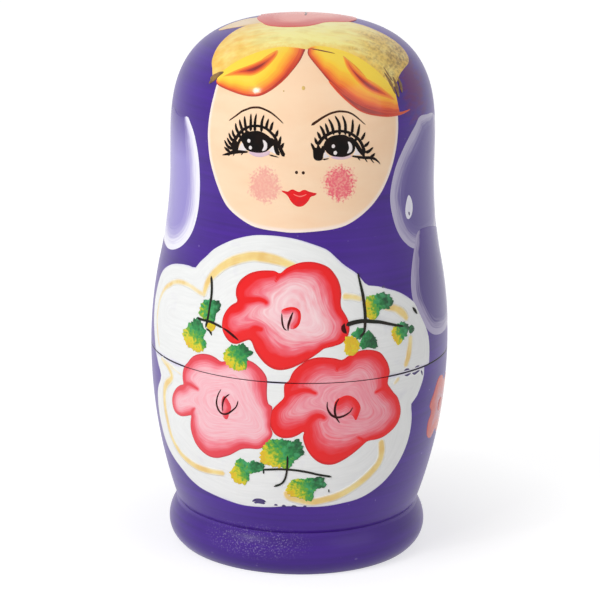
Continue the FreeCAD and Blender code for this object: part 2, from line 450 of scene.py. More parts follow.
class Finish:
    """A node material being put together round one Principled shader."""

    def __init__(self, name, rough, coat=VARNISH, coat_rough=0.13):
        self.material = bpy.data.materials.new(name)
        self.material.use_nodes = True
        self.tree = self.material.node_tree
        self.shader = self.tree.nodes["Principled BSDF"]
        self.shader.inputs["Roughness"].default_value = rough
        self.shader.inputs["Specular IOR Level"].default_value = GLOSS
        self.shader.inputs["Coat Weight"].default_value = coat
        self.shader.inputs["Coat Roughness"].default_value = coat_rough

    def add(self, kind, inputs, output=0, **settings):
        """A node with its settings, inputs given as values or other nodes' outputs; returns one output."""
        node = self.tree.nodes.new(kind)
        for key, value in settings.items():
            setattr(node, key, value)
        for key, value in inputs.items():
            if isinstance(value, bpy.types.NodeSocket):
                self.tree.links.new(value, node.inputs[key])
            else:
                node.inputs[key].default_value = value
        return node.outputs[output]

    def place(self, x=1.0, y=1.0, z=1.0):
        """Object coordinates in millimetres, stretched."""
        here = self.add("ShaderNodeTexCoord", {}, "Object")
        return self.add("ShaderNodeMapping", {"Vector": here, "Scale": (x / MM, y / MM, z / MM)})

    def value(self, name):
        """A value that the surface carries at each point."""
        return self.add("ShaderNodeAttribute", {}, "Fac", attribute_name=name)

    def noise(self, stretch, detail, across=None):
        """Noise, stretched along x, y and z, and in four dimensions where `across` runs over the surface."""
        inputs = {"Vector": self.place(*stretch), "Scale": 1.0, "Detail": detail}
        if across is not None:
            inputs["W"] = across
        return self.add("ShaderNodeTexNoise", inputs, 0, noise_dimensions="3D" if across is None else "4D")

    def sum(self, kind, first, second):
        """Arithmetic on two values."""
        return self.add("ShaderNodeMath", {0: first, 1: second}, operation=kind)

    def span(self, value, low, high, to_low=0.0, to_high=1.0):
        """A value brought from one range to another."""
        inputs = {"Value": value, "From Min": low, "From Max": high, "To Min": to_low, "To Max": to_high}
        return self.add("ShaderNodeMapRange", inputs)

    def ramp(self, value, *stops):
        """Colours at places from 0 to 1."""
        result = self.add("ShaderNodeValToRGB", {"Fac": value})
        elements = result.node.color_ramp.elements
        while len(elements) < len(stops):
            elements.new(0.5)
        for element, (place, colour) in zip(elements, stops):
            element.position = place
            element.color = (*colour, 1)
        return result

    def mix(self, share, first, second, kind="MIX"):
        """Two colours mixed."""
        first, second = [c if isinstance(c, bpy.types.NodeSocket) else (*c, 1) for c in (first, second)]
        inputs = {0: share, 6: first, 7: second}
        return self.add("ShaderNodeMix", inputs, 2, data_type="RGBA", blend_type=kind)

    def done(self, colour, bump=None, strength=0.2, depth=0.05):
        """Link the colour and the bump, whose depth is in millimetres."""
        self.tree.links.new(colour, self.shader.inputs["Base Color"])
        if bump is not None:
            inputs = {"Height": bump, "Strength": strength, "Distance": depth * MM}
            self.tree.links.new(self.add("ShaderNodeBump", inputs), self.shader.inputs["Normal"])
        return self.material


def violet_finish(colours):
    """Violet gloss paint brushed round on the lathe and varnished, thin and scuffed in places.

    `rim` darkens fully at the seam, as painted shade in the gap with grime, and faintly over the foot, as
    painted shade. `stain` is a magenta smear and `painted_foot_highlight` a painted highlight on the foot, in
    pale specks.
    """
    finish = Finish("violet_coat", 0.42, coat_rough=0.3)
    bands = finish.noise((0.03, 0.03, 1.1), 4.0)
    clouds = finish.noise((0.05, 0.05, 0.08), 3.0)
    specks = finish.noise((0.7, 0.7, 0.9), 1.0)
    deep, light = [tuple(part * share for part in colours.violet) for share in (0.82, 1.16)]
    colour = finish.mix(finish.span(bands, 0.3, 0.7), deep, light)
    colour = finish.mix(finish.span(clouds, 0.35, 0.75, 0, 0.35), colour, tuple(colours.violet_thin))
    colour = finish.mix(finish.span(specks, 0.77, 0.82, 0, 0.5), colour, tuple(colours.scuff))
    grain = finish.noise((3.4, 3.4, 3.4), 2.0)
    # Painted highlight: pale lavender specks on the foot's front
    painted_foot_highlight = finish.sum("MULTIPLY", finish.value("painted_foot_highlight"), finish.span(grain, 0.54, 0.68, 0, 0.42))
    colour = finish.mix(painted_foot_highlight, colour, display(176, 160, 206))
    smudge = finish.noise((0.35, 0.35, 0.9), 3.0)
    stain = finish.sum("ADD", finish.value("stain"), finish.span(smudge, 0.3, 0.7, -0.3, 0.3))
    colour = finish.mix(finish.span(stain, 0.05, 0.6, 0, 0.85), colour, display(98, 8, 96))
    # Painted shade in the seam's gap, with grime, and painted shade over the foot: towards near-black violet
    colour = finish.mix(finish.value("rim"), colour, display(22, 12, 34))
    return finish.done(colour, finish.sum("ADD", bands, finish.sum("MULTIPLY", specks, 0.3)), 0.25, 0.05)


def wood_finish(colours):
    """Bare limewood: pale, with long fine grain along the doll and faint rings from the turning tool."""
    finish = Finish("bare_limewood", 0.62, coat=0.0)
    grain = finish.noise((0.9, 0.9, 0.035), 5.0)
    broad = finish.noise((0.12, 0.12, 0.012), 3.0)
    rings = finish.noise((0.02, 0.02, 3.2), 2.0)
    pale = tuple(colours.limewood)
    dark = tuple(part * share for part, share in zip(pale, (0.72, 0.62, 0.5)))
    colour = finish.mix(finish.span(grain, 0.35, 0.72), pale, dark)
    colour = finish.mix(finish.span(broad, 0.4, 0.7, 0, 0.45), colour, dark)
    height = finish.sum("ADD", rings, finish.sum("MULTIPLY", grain, 0.4))
    return finish.done(colour, height, 0.35, 0.12)


def brushed(finish, low=0.28, fine=7.0, follows="edge"):
    """Streaks of a brush that follow the shape's edge: noise that changes fast across it and slowly along."""
    across = finish.sum("MULTIPLY", finish.value(follows), fine)
    return finish.noise((low, low, low), 3.0, across)


def white_finish(colours):
    """White poster paint, streaky, with violet showing faintly where it is thin."""
    finish = Finish("white_paint", 0.48)
    streaks = brushed(finish, 0.2, 2.2)
    thin = finish.noise((0.22, 0.22, 0.22), 4.0)
    grey = tuple(part * 0.86 for part in colours.white)
    colour = finish.mix(finish.span(streaks, 0.35, 0.75, 0, 0.45), tuple(colours.white), grey)
    colour = finish.mix(finish.span(thin, 0.62, 0.8, 0, 0.3), colour, display(205, 200, 222))
    rim = finish.sum("ADD", finish.value("edge"), finish.span(thin, 0.3, 0.7, -0.25, 0.25))
    colour = finish.mix(finish.span(rim, 0.0, 0.4, 0.5, 0), colour, display(205, 195, 235))
    return finish.done(colour, streaks, 0.35, 0.06)


def skin_finish(colours):
    """Flesh paint with a pale rim and two dabbed cheeks."""
    finish = Finish("skin_paint", 0.46)
    streaks = finish.noise((0.12, 0.12, 0.3), 3.0)
    warm = finish.mix(finish.span(streaks, 0.3, 0.7), tuple(colours.skin), tuple(colours.skin_warm))
    colour = finish.mix(finish.span(finish.value("edge"), 0.35, 0.95, 0.8, 0), warm, display(255, 240, 232))
    sponge = finish.noise((2.4, 2.4, 2.4), 2.0)
    cloud = finish.noise((0.5, 0.5, 0.5), 2.0)
    cheeks = ("cheek_left", colours.cheek_left, 0.8), ("cheek_right", colours.cheek_right, 1.0)
    for side, blush, full in cheeks:
        near = finish.sum("ADD", finish.value(side), finish.span(sponge, 0.3, 0.7, -0.2, 0.2))
        near = finish.sum("ADD", near, finish.span(cloud, 0.3, 0.7, -0.08, 0.08))
        speckled = finish.span(sponge, 0.36, 0.58, 0.62 * full, full)
        dabbed = finish.sum("MULTIPLY", finish.span(near, 0.06, 0.34), speckled)
        colour = finish.mix(dabbed, colour, tuple(blush))
    return finish.done(colour, sponge, 0.12, 0.04)


def rose_finish(name, edge, pink, light, white):
    """Petals loaded with red at the edge, pink inside, swept round with white. `fade` is 1 where red ends."""
    finish = Finish(name, 0.4)
    streaks = brushed(finish, 0.26, 3.2, "fade")
    broad = finish.noise((0.22, 0.22, 0.22), 2.0)
    uneven = finish.span(broad, 0.3, 0.7, -0.3, 0.3)
    shift = finish.sum("ADD", finish.span(streaks, 0.25, 0.75, -0.35, 0.35), uneven)
    inside = finish.span(finish.value("fade"), 0.2, 1.6)
    fade = finish.sum("ADD", finish.value("fade"), finish.sum("MULTIPLY", shift, inside))
    between = tuple((a + 1.2 * b) / 2.2 for a, b in zip(edge, pink))
    colour = finish.ramp(
        finish.span(fade, 0, 5), (0.0, tuple(part * 0.72 for part in edge)), (0.05, edge), (0.16, edge),
        (0.27, between), (0.38, pink), (0.6, light), (1.0, light),
    )
    fine = brushed(finish, 0.26, 6.5, "fade")
    swept = finish.sum("MULTIPLY", finish.span(fade, 1.2, 2.6), finish.span(fine, 0.42, 0.66, 0, 0.5))
    colour = finish.mix(swept, colour, white)
    rosy = finish.sum("MULTIPLY", finish.span(fade, 1.1, 2.2), finish.span(streaks, 0.52, 0.7, 0, 0.4))
    colour = finish.mix(rosy, colour, pink)
    return finish.done(colour, fine, 0.3, 0.05)


def plain_finish(name, colour, second, coarse=0.5, coat=VARNISH):
    """One brush colour, uneven towards a second."""
    finish = Finish(name, 0.42, coat)
    uneven = finish.noise((coarse, coarse, coarse), 3.0)
    mixed = finish.mix(finish.span(uneven, 0.35, 0.7), tuple(colour), tuple(second))
    return finish.done(mixed, uneven, 0.2, 0.05)


def leaf_finish(colours):
    """Leaves dabbed with a brush that holds green and yellow, by `tone`: 0 is dark green and 1 yellow."""
    finish = Finish("leaf_paint", 0.4)
    dabs = finish.noise((1.5, 1.5, 1.5), 3.0)
    light = finish.noise((0.6, 0.6, 0.6), 3.0)
    tone = finish.sum("ADD", finish.value("tone"), finish.span(dabs, 0.3, 0.7, -0.16, 0.16))
    green = finish.ramp(
        tone, (0.0, tuple(colours.leaf_dark)), (0.24, tuple(colours.leaf)), (0.44, display(34, 148, 74)),
        (0.64, display(104, 172, 44)), (0.84, tuple(colours.leaf_yellow)), (1.0, display(226, 186, 30)),
    )
    mint = finish.sum("MULTIPLY", finish.span(light, 0.5, 0.66, 0, 0.6), finish.span(tone, 0.6, 0.45))
    colour = finish.mix(mint, green, display(74, 180, 116))
    shade = finish.sum("MULTIPLY", finish.span(dabs, 0.58, 0.7, 0, 0.6), finish.span(tone, 0.7, 0.4))
    colour = finish.mix(shade, colour, display(8, 62, 36))
    return finish.done(colour, dabs, 0.45, 0.1)


def hair_finish(colours):
    """Yellow locks shaded through orange to dark red along their lower edge, with a brush's hairlines."""
    finish = Finish("hair_paint", 0.38, coat=0.9, coat_rough=0.12)
    streaks = brushed(finish, 0.12, 5.0)
    fade = finish.sum("ADD", finish.value("edge"), finish.span(streaks, 0.25, 0.75, -0.22, 0.22))
    colour = finish.ramp(
        finish.span(fade, 0, 5), (0.0, display(140, 14, 6)), (0.06, tuple(colours.hair_edge)),
        (0.15, display(244, 106, 24)), (0.28, display(255, 164, 30)), (0.46, display(255, 208, 40)),
        (0.62, tuple(colours.hair)), (1.0, display(255, 220, 56)),
    )
    fine = brushed(finish, 0.15, 12.0)
    colour = finish.mix(finish.span(fine, 0.55, 0.8, 0, 0.35), colour, display(250, 170, 50))
    return finish.done(colour, fine, 0.3, 0.05)


def band_finish(colours):
    """Gold hair over the crown: ochre at one side, pale in the middle, and worn to olive at the other."""
    finish = Finish("gold_band_paint", 0.34)
    streaks = finish.noise((0.1, 0.7, 0.7), 4.0)
    clouds = finish.noise((0.3, 0.3, 0.3), 4.0)
    speckle = finish.noise((1.6, 0.9, 1.6), 4.0)
    across = finish.add("ShaderNodeSeparateXYZ", {"Vector": finish.place()}, 0)
    sweep = finish.sum("ADD", across, finish.span(streaks, 0.3, 0.7, -4, 4))
    colour = finish.ramp(
        finish.span(sweep, -22, 22), (0.0, display(244, 164, 44)), (0.2, display(252, 212, 104)),
        (0.42, display(255, 246, 158)), (0.64, display(255, 242, 146)), (0.8, display(246, 210, 104)),
        (1.0, display(208, 168, 84)),
    )
    colour = finish.mix(finish.span(clouds, 0.45, 0.7, 0, 0.5), colour, display(255, 244, 170))
    olive = finish.sum("MULTIPLY", finish.span(clouds, 0.48, 0.34), 0.3)
    colour = finish.mix(olive, colour, display(222, 184, 92))
    worn = finish.sum("MULTIPLY", finish.span(sweep, 9, 21), finish.span(speckle, 0.4, 0.62, 0, 0.85))
    colour = finish.mix(worn, colour, display(136, 104, 50))
    rim = finish.sum("ADD", finish.value("edge"), finish.span(speckle, 0.3, 0.7, -0.6, 0.6))
    colour = finish.mix(finish.span(rim, 0.0, 1.6, 0.6, 0), colour, display(246, 196, 76))
    return finish.done(colour, streaks, 0.4, 0.08)


def loop_finish(colours):
    """Lace loops: a white edge that fades to lavender, darker by `depth`, and by `thin` to the violet."""
    finish = Finish("loop_paint", 0.46)
    streaks = brushed(finish, 0.16, 2.6)
    from_edge = finish.sum("ADD", finish.value("edge"), finish.span(streaks, 0.25, 0.75, -0.8, 0.8))
    # depth is painted shade: the loops at the right darker, edge and inside, than the one at the left
    inside = finish.value("depth")
    far = finish.mix(inside, tuple(colours.lavender), tuple(colours.lavender_in_shade))
    far = finish.mix(finish.value("thin"), far, tuple(colours.violet))
    pale = finish.mix(inside, display(240, 238, 250), display(176, 166, 200))
    rim = finish.mix(finish.span(from_edge, 0.9, 3.2), pale, finish.mix(inside, display(190, 182, 225), far))
    colour = finish.mix(finish.span(from_edge, 2.2, 5.0), rim, far)
    return finish.done(colour, streaks, 0.3, 0.06)


def scroll_finish(colours):
    """Thin gold paint that is palest at both edges of the stroke, with paler streaks along it."""
    finish = Finish("scroll_paint", 0.42)
    uneven = finish.noise((0.22, 0.22, 0.22), 3.0)
    streaks = brushed(finish, 0.2, 6.0)
    gold = finish.mix(finish.span(uneven, 0.35, 0.68), tuple(colours.gold), tuple(colours.gold_deep))
    gold = finish.mix(finish.span(streaks, 0.5, 0.7, 0, 0.5), gold, display(250, 234, 176))
    rim = finish.sum("ADD", finish.value("edge"), finish.span(uneven, 0.3, 0.7, -0.12, 0.12))
    colour = finish.mix(finish.span(rim, 0.0, 0.55), tuple(colours.white), gold)
    return finish.done(colour, streaks, 0.2, 0.04)


def flower_finish(name, edge, inside, reach):
    """Salmon petals, redder at the edge; the colour inside is reached at 0.7 of the given distance."""
    finish = Finish(name, 0.4)
    streaks = brushed(finish, 0.25, 3.5)
    from_edge = finish.sum("ADD", finish.value("edge"), finish.span(streaks, 0.25, 0.75, -0.7, 0.7))
    share = finish.span(from_edge, 0, reach)
    colour = finish.ramp(share, (0.0, edge), (0.35, edge), (0.7, inside), (1.0, inside))
    return finish.done(colour, streaks, 0.3, 0.05)


# -------------------------------------------------------------------------------------------------- settings


def tint(name, description, *rgb):
    """A colour setting, given as an 8-bit display colour."""
    return FloatVectorProperty(
        name=name, description=description, subtype="COLOR", size=3, min=0, max=1, default=display(*rgb)
    )


class NestingDollColours(bpy.types.PropertyGroup):
    violet: tint("Violet", "Main colour of the coats", 62, 16, 134)
    violet_thin: tint("Thin violet", "The coat where it is thin", 80, 38, 158)
    scuff: tint("Scuffs", "Specks rubbed into the coat", 135, 115, 180)
    limewood: tint("Limewood", "Bare wood inside", 226, 196, 150)
    white: tint("White", "The panel on the belly", 240, 241, 240)
    skin: tint("Skin", "The face", 255, 221, 186)
    skin_warm: tint("Warm skin", "The face where the paint is thicker", 253, 213, 175)
    cheek_left: tint("Left cheek", "Dabbed blush on the viewer's left", 242, 158, 150)
    cheek_right: tint("Right cheek", "Dabbed blush on the viewer's right", 240, 104, 118)
    rose_red: tint("Rose red", "Edges of the petals", 238, 8, 14)
    rose_pink: tint("Rose pink", "Petals inside their edges", 243, 112, 130)
    rose_light: tint("Rose light", "Palest part of the petals", 248, 200, 206)
    leaf_dark: tint("Dark leaf", "Darkest dabs of the leaves", 6, 70, 38)
    leaf: tint("Leaf", "Middle green of the leaves", 18, 112, 54)
    leaf_yellow: tint("Yellow leaf", "Yellow ends of the leaves", 224, 208, 30)
    gold: tint("Gold", "Scrolls on the panel", 247, 224, 150)
    gold_deep: tint("Deep gold", "Scrolls where the paint is thicker", 236, 196, 118)
    hair: tint("Hair", "The two locks", 254, 218, 60)
    hair_edge: tint("Hair edge", "Shaded edge of the locks", 208, 52, 18)
    ink: tint("Line", "Eyes and lashes", 6, 3, 3)
    lips: tint("Lips", "The mouth", 238, 16, 22)
    # The loops' lavender in light, and next the same lavender in painted shade on the loops at the right
    lavender: tint("Lavender", "Inside of the loops on the left", 148, 136, 206)
    lavender_in_shade: tint("Deep lavender", "Inside of the loops on the right", 76, 54, 134)


class NestingDollSizes(bpy.types.PropertyGroup):
    columns: IntProperty(
        name="Steps round", description="Facets round the outer doll's coat", default=360, min=90
    )
    line: FloatProperty(
        name="Lash scale", description="Width of the lashes beside the usual", default=1.0, min=0.3
    )


class NestingDollStage(bpy.types.PropertyGroup):
    distance: FloatProperty(
        name="Camera distance", description="In front of the doll", default=0.5, unit="LENGTH"
    )
    height: FloatProperty(
        name="Camera height", description="Above the table", default=0.188113, unit="LENGTH"
    )
    pitch: FloatProperty(
        name="Camera pitch", description="Downwards", default=math.radians(15.329), subtype="ANGLE"
    )
    roll: FloatProperty(
        name="Camera roll", description="The head leans to the right", default=math.radians(0.9294),
        subtype="ANGLE",
    )
    lens: FloatProperty(name="Lens", description="Focal length in mm on a 36 mm sensor", default=149.678)
    key: FloatProperty(name="Key light", description="Watts of the soft lamp at the left", default=5.0)
    spark: FloatProperty(name="Spark light", description="Watts of the small lamp at the left", default=0.7)
    fill: FloatProperty(name="Fill light", description="Watts of the lamp at the right", default=0.8)
    room: FloatProperty(name="Room light", description="Strength of the light from all round", default=0.42)


# -------------------------------------------------------------------------------------------------- drawings

FACE = pairs(
    -22.3, 58.5, -22.6, 55, -22.95, 50, -22.9, 47, -22.25, 43, -21.1, 40, -20.1, 38, -18.2, 35, -15.9, 33,
    -11.8, 31, -8.9, 30.3, -5, 30, -1.5, 29.85, 5, 30.3, 8.5, 30.8, 11, 31.6, 14, 33.2, 16.5, 35, 18.5, 37,
    19.9, 39, 21, 41, 22, 43.5, 22.8, 46.5, 23.3, 50, 23.4, 53, 23.4, 56, 23.2, 58.5, 20, 62, 12, 66.2,
    4, 68.6, 0, 69, -6, 68.2, -14, 65.4, -20, 61.5,
)
LEFT_BROW = pairs(
    -17.2, 50.9, -16, 51.7, -15, 52.4, -14, 53.1, -13, 53.5, -12, 53.9, -11, 54.05, -10, 54.1, -9, 53.9,
    -8, 53.6, -7, 53.2, -6, 52.6, -5, 51.9, -4.2, 51.25,
)
RIGHT_BROW = pairs(
    1.8, 51.1, 3, 51.8, 4, 52.4, 5, 52.9, 6, 53.3, 7, 53.55, 8, 53.7, 9, 53.65, 10, 53.5, 11, 53.15,
    12, 52.55, 13, 51.8, 14, 51, 14.3, 50.8,
)
LEFT_IRIS = pairs(
    -14, 47.6, -13.4, 48.3, -12.6, 49, -11.4, 49.4, -10, 49.6, -8.9, 49.4, -7.9, 49, -7, 48.4, -6.3, 47.7,
    -5.9, 47, -6.5, 46.9, -7.1, 46.3, -7.9, 45.7, -8.9, 45.4, -10, 45.3, -11.4, 45.4, -12.3, 45.65,
    -12.9, 46.1, -13.3, 46.8,
)
LEFT_LID = pairs(
    -15.9, 45.4, -15.6, 47, -15.1, 47.7, -14.4, 48.6, -13.6, 49.4, -12.6, 50, -11.4, 50.4, -10, 50.55,
    -8.9, 50.4, -7.9, 50.1, -6.9, 49.4, -6.1, 48.7, -5.7, 47.9, -5.1, 47, -4.6, 46.1, -3.9, 44.9,
)
LEFT_OUTER = pairs(-14.9, 45.3, -14.7, 46.2, -14.3, 47.1, -13.7, 48, -12.9, 48.8, -11.8, 49.3)
LEFT_INNER = pairs(-7, 48.4, -6.3, 47.7, -5.9, 47, -5.6, 46, -5, 45.1)
LEFT_LASHES = (
    (-16.5, 45, -17.3, 45.2, -18.1, 45.7), (-15.9, 45.5, -17.1, 45.9, -18.1, 47.05),
    (-15.7, 46, -16.7, 46.7, -17.4, 47.6), (-15.5, 47, -16.4, 47.6, -17, 48.6),
    (-15.1, 47.7, -15.8, 48.4, -16.1, 49.3), (-14.4, 48.6, -15.1, 49.6, -15.4, 50.7),
    (-13.6, 49.4, -14.2, 50.6, -14.5, 51.5), (-12.8, 49.9, -13.1, 51.1, -13.3, 52.2),
    (-11.6, 49.4, -11.7, 51.3, -11.8, 52.8), (-10.6, 49.4, -10.7, 51.3, -10.5, 52.9),
    (-9.1, 49.4, -9.1, 51.3, -8.7, 52.8), (-8.1, 49.9, -7.9, 51.1, -7.6, 52.1),
    (-7.1, 49.7, -6.8, 50.9, -6.5, 51.6), (-5.9, 48.6, -5.6, 49.4, -5.4, 50.1),
    (-5.1, 47, -4.9, 48.1, -4.7, 48.9), (-4.6, 46.3, -4.4, 47, -4, 47.6),
    (-13.9, 47.9, -14.3, 48.4, -14.4, 48.7), (-13.3, 48.5, -13.6, 49.1, -13.8, 49.4),
    (-12.5, 49.1, -12.7, 49.6, -12.8, 50),
)
LEFT_TAIL = pairs(-12, 45.3, -13.3, 45.2, -14.6, 45.1, -15.7, 44.9, -17.1, 44.4, -18.6, 44)
LEFT_CORNER = pairs(
    -16, 45, -15.7, 46.2, -15.3, 47.2, -14.9, 47.3, -14.6, 46.4, -14.5, 45.2, -14.8, 44.8, -15.4, 44.7,
)
LEFT_WHITES = (
    (pairs(-13.5, 47, -14.1, 46.2, -14.4, 45.5, -13.4, 45.45, -12.3, 45.6, -13, 46.2), (-13.5, 45.95)),
    (pairs(-6.55, 46.9, -5.8, 46, -5.2, 45.2, -6.3, 45.5, -7.3, 45.9, -6.9, 46.4), (-6.3, 45.9)),
)
LEFT_GLINT = pairs(
    -8.7, 47.9, -7.9, 47.6, -7.5, 46.9, -7.9, 46.1, -8.7, 45.6, -9.5, 45.6, -8.7, 46.1, -8.4, 46.7,
    -8.5, 47.3,
)
RIGHT_IRIS = pairs(
    4.9, 47.3, 5.1, 48.1, 5.9, 48.8, 7, 49.1, 8.1, 49.2, 9.3, 49.1, 10.3, 48.6, 11.1, 48, 11.6, 47,
    11.6, 46.1, 11, 45.4, 10.1, 45, 8.9, 44.8, 7.6, 44.9, 6.4, 45.1, 5.4, 45.7, 4.9, 46.4,
)
RIGHT_LID = pairs(
    3.3, 47.3, 3.9, 48.1, 4.7, 48.9, 5.9, 49.5, 7, 49.8, 8.3, 49.9, 9.6, 49.7, 10.7, 49.3, 11.7, 48.7,
    12.6, 48, 13.3, 47, 13.7, 46.1, 14, 45.1,
)
RIGHT_INNER = pairs(4.4, 45.6, 4.7, 46.7, 5.1, 47.8, 5.9, 48.6)
RIGHT_OUTER = pairs(10.3, 48.6, 11.1, 48, 12, 47.1, 12.7, 46.1, 13.4, 45.3, 14, 44.7)
RIGHT_LASHES = (
    (2.7, 46, 2.3, 46.9, 1.8, 47.7), (3.4, 47.3, 2.9, 48, 2.6, 48.8), (3.9, 48.3, 3.6, 49.1, 3.1, 49.9),
    (4.8, 48.9, 4.4, 50, 3.7, 51.1), (5.6, 49.4, 5.3, 50.4, 4.9, 51.5), (6.8, 49.2, 6.4, 51, 5.6, 52.4),
    (8.1, 49.1, 8, 51.3, 7.1, 52.9), (9.4, 49.1, 9.4, 51.3, 8.8, 52.9),
    (10.9, 49.3, 11.1, 50.6, 11.2, 52.1), (12.1, 48.6, 12.5, 49.9, 12.8, 51.1),
    (13, 47.9, 13.6, 48.5, 14.1, 49.4), (13.7, 46.6, 14.6, 47, 15.1, 47.6),
    (14.1, 45.4, 15.1, 45.6, 16.1, 46.3), (15.3, 44.4, 16, 44.6, 16.6, 45.1), (5.3, 48.3, 5, 48.7, 4.8, 49),
    (10.2, 48.7, 10.5, 49.2, 10.8, 49.5), (11.5, 47.7, 11.9, 48.2, 12.2, 48.5),
)
RIGHT_TAIL = pairs(
    10.9, 44.9, 12, 44.7, 13.1, 44.5, 14.3, 44.35, 15.4, 44.25, 16.6, 43.9, 17.7, 43.1, 18, 42.7,
)
RIGHT_CORNER = pairs(
    2.3, 47, 2.3, 45.8, 2.5, 44.6, 3.4, 44.2, 4.3, 44.4, 4.5, 45.2, 4.7, 46.4, 4.3, 47.2, 4, 46.6,
    3.3, 47.6, 3, 46.7,
)
RIGHT_WHITES = (
    (pairs(4.75, 46.3, 4.65, 45.4, 4.6, 44.7, 5.4, 44.8, 6, 45, 5.3, 45.5), (5.0, 45.2)),
    (pairs(11.7, 46.6, 12.3, 45.9, 13, 45.1, 12.2, 45, 11.2, 45.1, 11.65, 45.7), (12, 45.6)),
)
RIGHT_GLINT = pairs(
    10, 47.8, 10.7, 47.4, 11.1, 46.7, 10.9, 46, 10.1, 45.4, 9.3, 45.5, 10, 45.9, 10.3, 46.6, 10.1, 47.1,
)
TICKS = (
    (-13.3, 45.1, -13.7, 44.5), (-15.3, 44.9, -15.7, 44.15), (-16.4, 44.6, -16.9, 44),
    (12.3, 44.6, 12.9, 43.9), (14, 44.3, 14.7, 43.4), (15.4, 44.1, 16.4, 43.1), (-7.3, 45.1, -5.1, 44.7),
    (4.4, 44.4, 5.8, 44.6),
)
LIPS = pairs(
    -4.4, 38.15, -3.7, 38.1, -3, 38, -2.35, 38.4, -1.8, 38.45, -1.15, 38.15, -0.5, 38, 0.15, 38.35,
    0.8, 38.4, 1.55, 38.1, 2.4, 37.9, 3.3, 37.7, 2.75, 37.25, 2, 37.05, 1.45, 36.2, 0.7, 35.45, 0, 35.1,
    -0.8, 35.05, -1.6, 35.4, -2.35, 36.1, -2.9, 36.95, -3.5, 37.5, -4.1, 37.8,
)
FOREHEAD_LINE = pairs(2.1, 67.4, 5.5, 66.8, 9.3, 65.9)
LIP_LINES = ((pairs(-1.9, 37.6, -1.15, 37.25, -0.3, 37.1, 0.5, 37.3, 1.1, 37.6), (0.12, 0.28, 0.12)),)
LEFT_CHEEK = ((-8.2, 38.9), 4.0)
RIGHT_CHEEK = ((8.3, 39.6), 4.1)
BROWS = ((LEFT_BROW, (0.26, 0.4, 0.42, 0.38, 0.2)), (RIGHT_BROW, (0.6, 0.42, 0.42, 0.36, 0.2)))
IRISES = ((LEFT_IRIS, (-9.8, 47.4)), (RIGHT_IRIS, (8.2, 47)))
EYE_CORNERS = ((LEFT_CORNER, (-15.2, 45.9)), (RIGHT_CORNER, (3.6, 45.8)))
EYE_SHADES = (
    (pairs(-12, 45.2, -11, 44.7, -10, 44.5, -8.6, 44.6, -7.2, 45.2, -7.2, 45.9, -8.6, 45.5, -10, 45.4,
           -11.4, 45.5), (-9.6, 45.05)),
    (pairs(6, 44.9, 7, 44.5, 8.4, 44.3, 9.8, 44.4, 10.9, 44.8, 10.4, 45.2, 8.9, 44.95, 7.4, 45),
     (8.6, 44.65)),
)
EYE_LINES = (
    (LEFT_LID, (0.85, 0.7, 0.55, 0.5, 0.55, 0.75, 0.85)), (RIGHT_LID, (0.75, 0.65, 0.52, 0.55, 0.65, 0.8)),
    (LEFT_OUTER, (0.8, 0.65, 0.6, 0.5)), (LEFT_INNER, (0.6, 0.75, 0.95, 0.8)),
    (RIGHT_INNER, (0.7, 0.6, 0.5)), (RIGHT_OUTER, (0.6, 0.85, 0.95, 0.6)),
    (LEFT_TAIL, (0.3, 0.6, 0.8, 0.6, 0.15)), (RIGHT_TAIL, (0.3, 0.5, 0.6, 0.5, 0.15)),
)
EYE_SPARKS = ((-11.9, 47.5, 0.38), (-11.5, 46.2, 0.38), (6.7, 47, 0.38), (7.15, 45.7, 0.4))

# Crown chart
LEFT_LOCK_EDGE = pairs(
    0.2, -18.4, -0.1, -20.2, -0.9, -22.2, -2.2, -24.1, -3.9, -25.9, -5.9, -27.2, -8, -28, -10, -28.2,
    -12, -27.7, -14.2, -26.5, -16.2, -24.9, -17.9, -23.2, -19.2, -21.6, -19.6, -20.4,
)
LEFT_LOCK_TOP = pairs(-18.6, -19.4, -16.5, -17, -12, -15, -6, -14.5, -1, -16)
LEFT_LOCK_SHADES = (
    0, -20, 1.5, -1.6, -23.5, 1.7, -4, -26, 1.5, -7.5, -28, 1.4, -11, -28, 1.0, -14.5, -26.3, 0.9,
    -18, -23, 0.7, -19.6, -20.5, 0.3,
)
RIGHT_LOCK_EDGE = pairs(
    0.8, -18.8, 0.8, -20.4, 1.8, -22.1, 3.4, -24, 5.4, -25.9, 7.8, -27.4, 10.4, -28.4, 13, -28.9,
    15.6, -28.7, 18.4, -27.8, 21, -26.5, 23.2, -24.9, 24.4, -23.8,
)
RIGHT_LOCK_TOP = pairs(23.2, -22.8, 20.8, -20.6, 18.5, -18, 15, -15.5, 10, -14, 4, -14.5, 1.2, -16.5)
RIGHT_LOCK_SHADES = (
    0.8, -19.5, 0.8, 2.6, -23, 1.0, 6, -26.4, 1.5, 10, -28.3, 2.0, 15, -28.8, 2.2, 20, -27, 1.9,
    24, -24, 1.4,
)
LEFT_LENS = pairs(
    -17.4, -20.6, -13.4, -22.6, -11, -23.6, -8.8, -23.3, -6.8, -22, -5.4, -20.2, -5.4, -18.8, -7, -20,
    -9, -20.7, -11, -21, -13.5, -20.9,
)
RIGHT_LENS = pairs(
    7.9, -19.6, 8.9, -22.1, 11, -24, 13.5, -25, 16, -25, 19, -24, 21.8, -22.6, 18, -22.7, 15, -22.8,
    13, -22.5, 11, -21.7, 9.4, -20.4,
)
RIGHT_LOCK_SHADOW = pairs(
    5.4, -26, 7.8, -27.5, 10.4, -28.5, 13, -29, 15.6, -28.8, 18.4, -27.9, 21, -26.6, 23.2, -25, 25, -23.2,
    26.3, -21.4, 27, -20.2,
)
